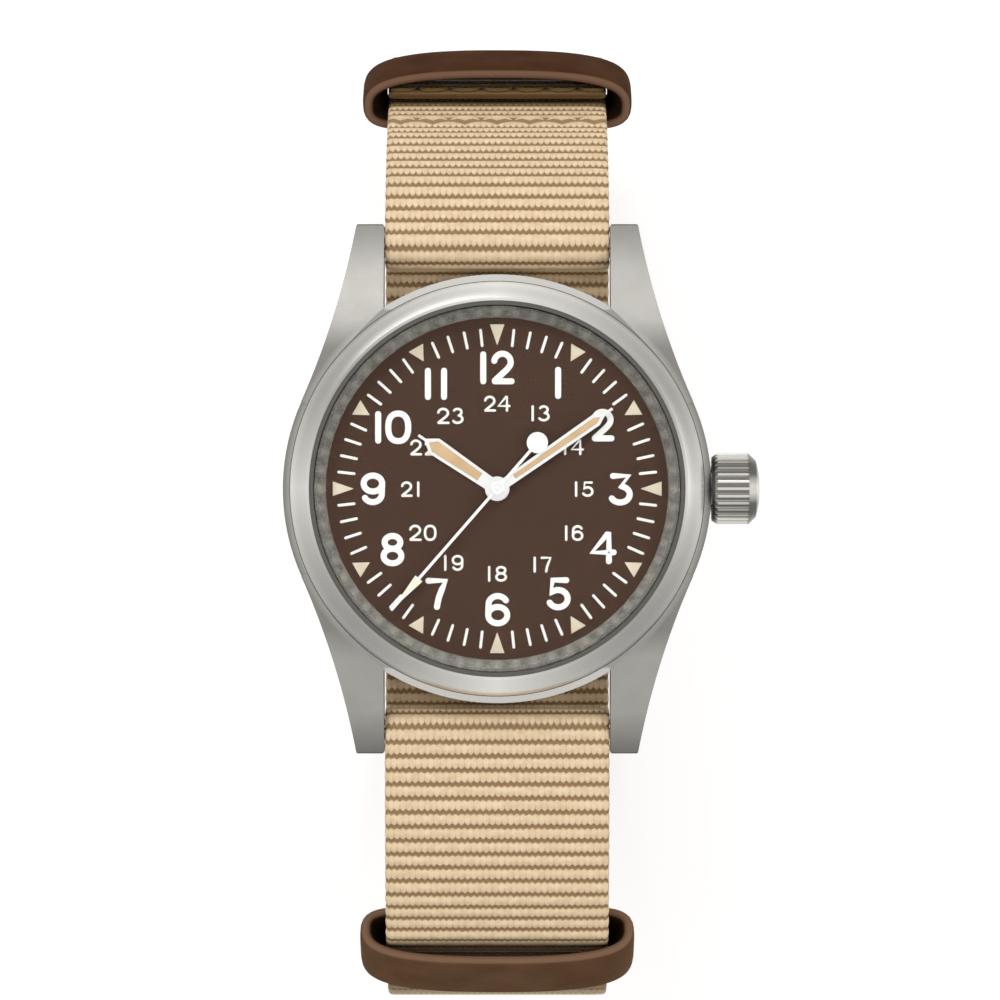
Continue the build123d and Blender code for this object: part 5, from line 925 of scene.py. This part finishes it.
hourMarks = {  # inner and outer reach, then width
    "plain": (13.05, 14.45, 1.5),
    "quarter": (12.72, 14.6, 1.3),
    "raised": 0.06,
    "bevel": 0.03,
}
triangles = []
for hour in range(12):
    inner, outer, width = hourMarks["plain" if hour % 3 else "quarter"]
    triangle = added(bpy.ops.mesh.primitive_cylinder_add, vertices=3, radius=1,
                     depth=hourMarks["raised"] * 2 * mm)
    spots = readPoints(triangle)
    corners = {0: (0.0, inner), 1: (width / 2, outer), 2: (-width / 2, outer)}
    turnOf = np.rint(np.degrees(np.arctan2(spots[:, 0], spots[:, 1])) / 120).astype(int) % 3
    for number, third in enumerate(turnOf):
        x, y = corners[int(third)]
        spots[number, 0], spots[number, 1] = x * mm, y * mm
    spots[:, 2] += dialTop
    writePoints(triangle, spots)
    bevel = triangle.modifiers.new("edge", "BEVEL")
    bevel.width = hourMarks["bevel"] * mm
    bevel.segments = 2
    settle(triangle)
    turnClockwise(triangle, 30 * hour)
    triangles.append(triangle)
hourTriangles = joinUp(triangles)
mergeDoubles(hourTriangles, 0.0000001)
fitOut(hourTriangles, "hourTriangles", "watch", "markPaste", 30)
print("dial print set")


pasteFit = {"share": 0.985, "sunk": 0.02, "rise": 0.05, "edge": 0.05, "crown": 0.015}
handWindows = {  # half widths at the window's neck and shoulder, and how far out each of its corners lies
    "hour": {"angle": 304.2, "start": 1.85, "neck": 0.384, "shoulderReach": 6.664, "shoulder": 0.54,
             "point": 7.33, "node": "hour_hand", "body": "hours"},
    "minute": {"angle": 55.2, "start": 1.85, "neck": 0.209, "shoulderReach": 10.614, "shoulder": 0.3,
               "point": 11.16, "node": "minute_hand", "body": "minutes"},
}


def raisedPaste(outline, floor, rise, angle, crowned=False):
    paste = added(bpy.ops.mesh.primitive_circle_add, vertices=len(outline), radius=1, fill_type="NGON")
    writePoints(paste, [(across * mm, reach * mm, floor) for across, reach in outline])
    with editing(paste):
        bpy.ops.mesh.extrude_region_move(TRANSFORM_OT_translate={"value": (0, 0, rise)})
        if crowned:
            bpy.ops.mesh.inset(thickness=pasteFit["edge"] * mm, depth=pasteFit["crown"] * mm)
    turnClockwise(paste, angle)
    return paste


def handPaste(name, plan):
    low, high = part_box(plan["node"])[0].z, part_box(plan["node"])[1].z
    neck, shoulder = plan["neck"] * pasteFit["share"], plan["shoulder"] * pasteFit["share"]
    start, shoulderReach = plan["start"], plan["shoulderReach"]
    outline = [(neck, start), (shoulder, shoulderReach), (0.0, plan["point"]), (-shoulder, shoulderReach),
               (-neck, start)]
    rise = high - low - pasteFit["rise"] * mm
    paste = raisedPaste(outline, low + pasteFit["sunk"] * mm, rise, plan["angle"], crowned=True)
    return fitOut(paste, name, plan["body"], "handPaste", 30)


handPaste("hourPaste", handWindows["hour"])
handPaste("minutePaste", handWindows["minute"])

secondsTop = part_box("seconds_hand")[1].z
tipPlan = {"angle": 221.1, "notch": 10.75, "start": 10.6, "end": 12.9, "halfWidth": 0.4, "raised": 0.03}
tipOutline = [(0, tipPlan["notch"]), (tipPlan["halfWidth"], tipPlan["start"]), (0, tipPlan["end"]),
              (-tipPlan["halfWidth"], tipPlan["start"])]
tip = raisedPaste(tipOutline, secondsTop, tipPlan["raised"] * mm, tipPlan["angle"])
fitOut(tip, "secondsPaste", "seconds", "tipPaste", 30)

pinPlan = {"radius": 0.17, "domed": 0.55, "ringRadius": 0.46, "ringThick": 0.16, "ringDomed": 0.35}
pin = added(bpy.ops.mesh.primitive_uv_sphere_add, segments=32, ring_count=12, radius=pinPlan["radius"] * mm)
collar = added(bpy.ops.mesh.primitive_torus_add, major_segments=64, minor_segments=12,
               major_radius=pinPlan["ringRadius"] * mm, minor_radius=pinPlan["ringThick"] * mm)
for piece, flatness in ((pin, pinPlan["domed"]), (collar, pinPlan["ringDomed"])):
    spots = readPoints(piece)
    spots[:, 2] = secondsTop + spots[:, 2] * flatness
    writePoints(piece, spots)
fitOut(joinUp([pin, collar]), "handCap", "seconds", "handSteel", 60)
print("hands filled")


keeperPlan = {
    "leather": 1.1,
    "width": 6.0,
    "halfRoom": 11.3,
    "outward": 2.45,
    "inward": 1.55,
    "outwardPower": 2.6,
    "inwardPower": 4.5,
    "creaseInset": 0.75,
    "creaseDepth": 0.05,
    "creaseWidth": 0.14,
    "narrowing": 1.15,  # how much the room's ends close in, deeper inside the ring
    "narrowFrom": 9.6,
    "narrowOver": 1.2,
    "narrowDeep": 1.6,
    "facePower": 0.42,
    "edgePower": 0.35,
    "faceShare": 0.7,
    "skin": 0.01,
    "wobble": [(0.02, 5, 1.3), (0.012, 11, 0.0)],  # size, waves round the ring, start
    "paleRim": (0.75, 0.3, 0.8),  # lift, then least and most
    "paintedShade": (1.3, 0.4, 0.5, 0.95),  # at the mouth, loss with depth, then least and most
}


def keeperOutline(count):
    # the room inside the ring is an oval, fuller away from the wrist
    plan = keeperPlan
    angle = np.linspace(0, 2 * math.pi, 2881)
    away = np.sin(angle) < 0
    power = 2 / np.where(away, plan["outwardPower"], plan["inwardPower"])
    high = np.where(away, plan["outward"], plan["inward"])
    outline = np.column_stack([plan["halfRoom"] * signedPower(np.cos(angle), power),
                               high * signedPower(np.sin(angle), power)])
    lengths = lengthsAlong(outline)
    return placesAt(np.linspace(0, lengths[-1], count, endpoint=False), lengths, outline)


def leatherRing(name, node, body, place):
    plan = keeperPlan
    majors, minors = 240, 44
    ring = added(bpy.ops.mesh.primitive_torus_add, major_segments=majors, minor_segments=minors,
                 major_radius=1, minor_radius=0.25)
    points = readPoints(ring)
    major = np.rint(np.arctan2(points[:, 1], points[:, 0]) / (2 * np.pi) * majors).astype(int) % majors
    minor = np.arctan2(points[:, 2], np.hypot(points[:, 0], points[:, 1]) - 1)
    outline = keeperOutline(majors)
    tangent = unit(np.roll(outline, -1, axis=0) - np.roll(outline, 1, axis=0))
    outward = np.column_stack([tangent[:, 1], -tangent[:, 0]])
    if np.sum(outward * outline) < 0:
        outward = -outward
    # a rounded oblong section: wide along the strap, thin outwards, with a crease near each edge
    halfWide, halfThin = plan["width"] / 2, plan["leather"] / 2
    run = halfWide * signedPower(np.sin(minor), plan["facePower"])
    out = halfThin * signedPower(np.cos(minor), plan["edgePower"])
    crease = np.exp(-((np.abs(run) - (halfWide - plan["creaseInset"])) / plan["creaseWidth"]) ** 2)
    out = np.where(out > halfThin * plan["faceShare"], out - plan["creaseDepth"] * crease, out)
    turn = major * 2 * np.pi / majors
    wobble = sum(size * np.sin(turn * waves + start) for size, waves, start in plan["wobble"])
    across = outline[major] + outward[major] * (halfThin + out + plan["skin"])[:, None]
    towardsView = 1 if place["heading"][1] > 0 else -1
    depth = np.clip((halfWide - run * towardsView) / (2 * halfWide), 0, 1)
    atEnd = np.clip((np.abs(across[:, 0]) - plan["narrowFrom"]) / plan["narrowOver"], 0, 1)
    inner = np.clip(-out / halfThin, 0, 1) * atEnd
    deep = np.clip(depth * plan["narrowDeep"], 0, 1)
    across[:, 0] -= np.sign(across[:, 0]) * plan["narrowing"] * inner * deep
    step = np.array(place["heading"]) / np.linalg.norm(place["heading"])
    up = np.array([-step[1], step[0]])
    run = run + wobble * np.abs(np.cos(minor))
    flat = np.array(place["centre"]) + run[:, None] * step + across[:, 1][:, None] * up
    writePoints(ring, np.column_stack([across[:, 0], flat]) * mm)
    # lighter towards the outer rims
    atRim = np.clip((np.abs(np.sin(minor)) - 0.9) / 0.1, 0, 1)
    lift, *span = plan["paleRim"]
    giveValues(ring, "paleRim", atRim * np.clip(np.cos(minor) + lift, *span))
    # painted shade on the ring's inner face, fading a little with depth
    mouth, loss, *span = plan["paintedShade"]
    inward = np.clip(-np.cos(minor) * 2.0, 0, 1)
    giveValues(ring, "inside", inward * np.clip(mouth - depth * loss, *span))
    mergeDoubles(ring, 0.0000005)
    fitOut(ring, name, body, "keeperLeather", 80)
    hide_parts(node)
    return ring


leatherRing("topKeeperRing", "top_keeper", "top_keeper", keeperPlaces["top"])
leatherRing("bottomKeeperRing", "bottom_keeper", "bottom_keeper", keeperPlaces["bottom"])
print("keepers made")


stitchPlan = {
    "pitch": 2.95,
    "length": 2.8,
    "endPower": 5,
    "mostFat": 3.0,
    "thread": 0.42,
    "flatness": 0.8,
    "sag": 0.8,
    "shift": 0.1,
    "endSink": 0.06,
    "reach": 9.85,
    "eachSide": 3,
    "outerFace": -0.56,
    "innerFace": 0.5,
    "fromTail": 0.8,
    "foldRows": (1.4, 6.2),
}


def stitchRow(distance, offset, tilt=1.0):
    # one stitch is a pinched, slightly bowed bead; the row is its copies laid on the band
    plan, row = stitchPlan, []
    stitch = added(bpy.ops.mesh.primitive_uv_sphere_add, segments=12, ring_count=14, radius=0.5,
                   rotation=(0, math.pi / 2, 0))
    settle(stitch)
    shape = readPoints(stitch)
    share = np.clip(np.abs(shape[:, 0]) * 2, 0, 1)
    fat = np.sqrt(np.clip(1 - share ** plan["endPower"], 0, 1)) / np.maximum(np.sqrt(1 - share ** 2), 0.05)
    fat = np.minimum(fat, plan["mostFat"])
    down = shape[:, 1] * plan["thread"] * fat - tilt * plan["sag"] * (1 - share ** 2) + plan["shift"]
    up = shape[:, 2] * plan["thread"] * plan["flatness"] * fat - plan["endSink"] * share ** 2
    laid = alongRoute(mainWalk, distance + down, offset + np.sign(offset) * up)
    for number in range(-plan["eachSide"], plan["eachSide"] + 1):
        twin = ownCopy(stitch)
        x = np.clip(shape[:, 0] * plan["length"] + number * plan["pitch"], -plan["reach"], plan["reach"])
        writePoints(twin, np.column_stack([x, laid]) * mm)
        row.append(twin)
    bpy.data.objects.remove(stitch)
    return row


rows = stitchRow(joinDistance, stitchPlan["outerFace"])
rows += stitchRow(joinDistance, stitchPlan["innerFace"])
rows += stitchRow(mainWalk[0][-1] - stitchPlan["fromTail"], stitchPlan["outerFace"], -1.0)
for foldDistance in stitchPlan["foldRows"]:
    rows += stitchRow(foldDistance, -stitchPlan["outerFace"])
seams = joinUp(rows)
mergeDoubles(seams, 0.0000002)
# painted shade on the stitches in and near the keepers
giveValues(seams, "inside", paintedKeeperShade(readPoints(seams)[:, 1:] / mm))
fitOut(seams, "seamStitches", "watch", "sewingThread", 60)
print("stitches sewn")


studio = {
    "floorGlow": 0.6,
    "floorSize": 6,
    "floorDrop": 0.0001,
    "worldStrength": 0.62,
    "lamps": [  # place, size, power
        ((-0.2, 0.4, 0.64), 0.4, 1.35),
        ((0.38, 0.1, 0.6), 0.3, 0.5),
    ],
    "lampAim": (0, 0, 0.05),
}


def seenRays(nodes):  # 1 where the camera sees a surface straight, in a mirror or through glass
    rays = nodes.make("ShaderNodeLightPath", 0, {}).node.outputs
    seen = nodes.maths("MAXIMUM", rays["Is Camera Ray"], rays["Is Glossy Ray"])
    return nodes.maths("MAXIMUM", seen, rays["Is Transmission Ray"])


def paleFloor():
    finish = Finish("paleFloor", (0.6, 0.6, 0.6, 1.0), 0.0, 0.7)
    strength = finish.times(seenRays(finish), studio["floorGlow"])
    glow = finish.make("ShaderNodeEmission", 0, {"Strength": strength})
    both = finish.make("ShaderNodeAddShader", 0, {0: finish.shader.outputs[0], 1: glow})
    finish.wire(both, finish.tree.nodes["Material Output"].inputs["Surface"])
    finish.gloss(finish.spread(finish.noise(finish.place(), 30, 2.0), 0.65, 0.8))
    return finish


floor = added(bpy.ops.mesh.primitive_plane_add, size=studio["floorSize"],
              location=(0, 0, -studio["floorDrop"]))
floor.name = "floor"
floor.data.materials.append(paleFloor().material)

world = bpy.data.worlds.new("studioWorld")
bpy.context.scene.world = world
world.use_nodes = True
sky = Nodes(world.node_tree)
backdrop = sky.tree.nodes["Background"]
backdrop.inputs["Color"].default_value = (1, 1, 1, 1)
sky.wire(sky.spread(seenRays(sky), studio["worldStrength"], 1.0, 0.0, 1.0), backdrop.inputs["Strength"])

for number, (place, size, power) in enumerate(studio["lamps"]):
    lamp = added(bpy.ops.object.light_add, type="AREA", location=place)
    lamp.name = f"softLamp{number}"
    lamp.data.size = size
    lamp.data.energy = power
    aim = Vector(studio["lampAim"]) - Vector(place)
    lamp.rotation_euler = aim.to_track_quat("-Z", "Y").to_euler()

cameraPlan = {"place": (0.00025, -0.001, 0.561), "lens": 203.0, "sensor": 36.0, "clipStart": 0.01}
camera = added(bpy.ops.object.camera_add, location=cameraPlan["place"], rotation=(0, 0, 0))
camera.data.lens = cameraPlan["lens"]
camera.data.sensor_width = cameraPlan["sensor"]
camera.data.clip_start = cameraPlan["clipStart"]
camera.data.dof.use_dof = False
bpy.context.scene.camera = camera
bpy.context.scene.view_settings.view_transform = "Standard"
clearSelection()
print("stage ready")
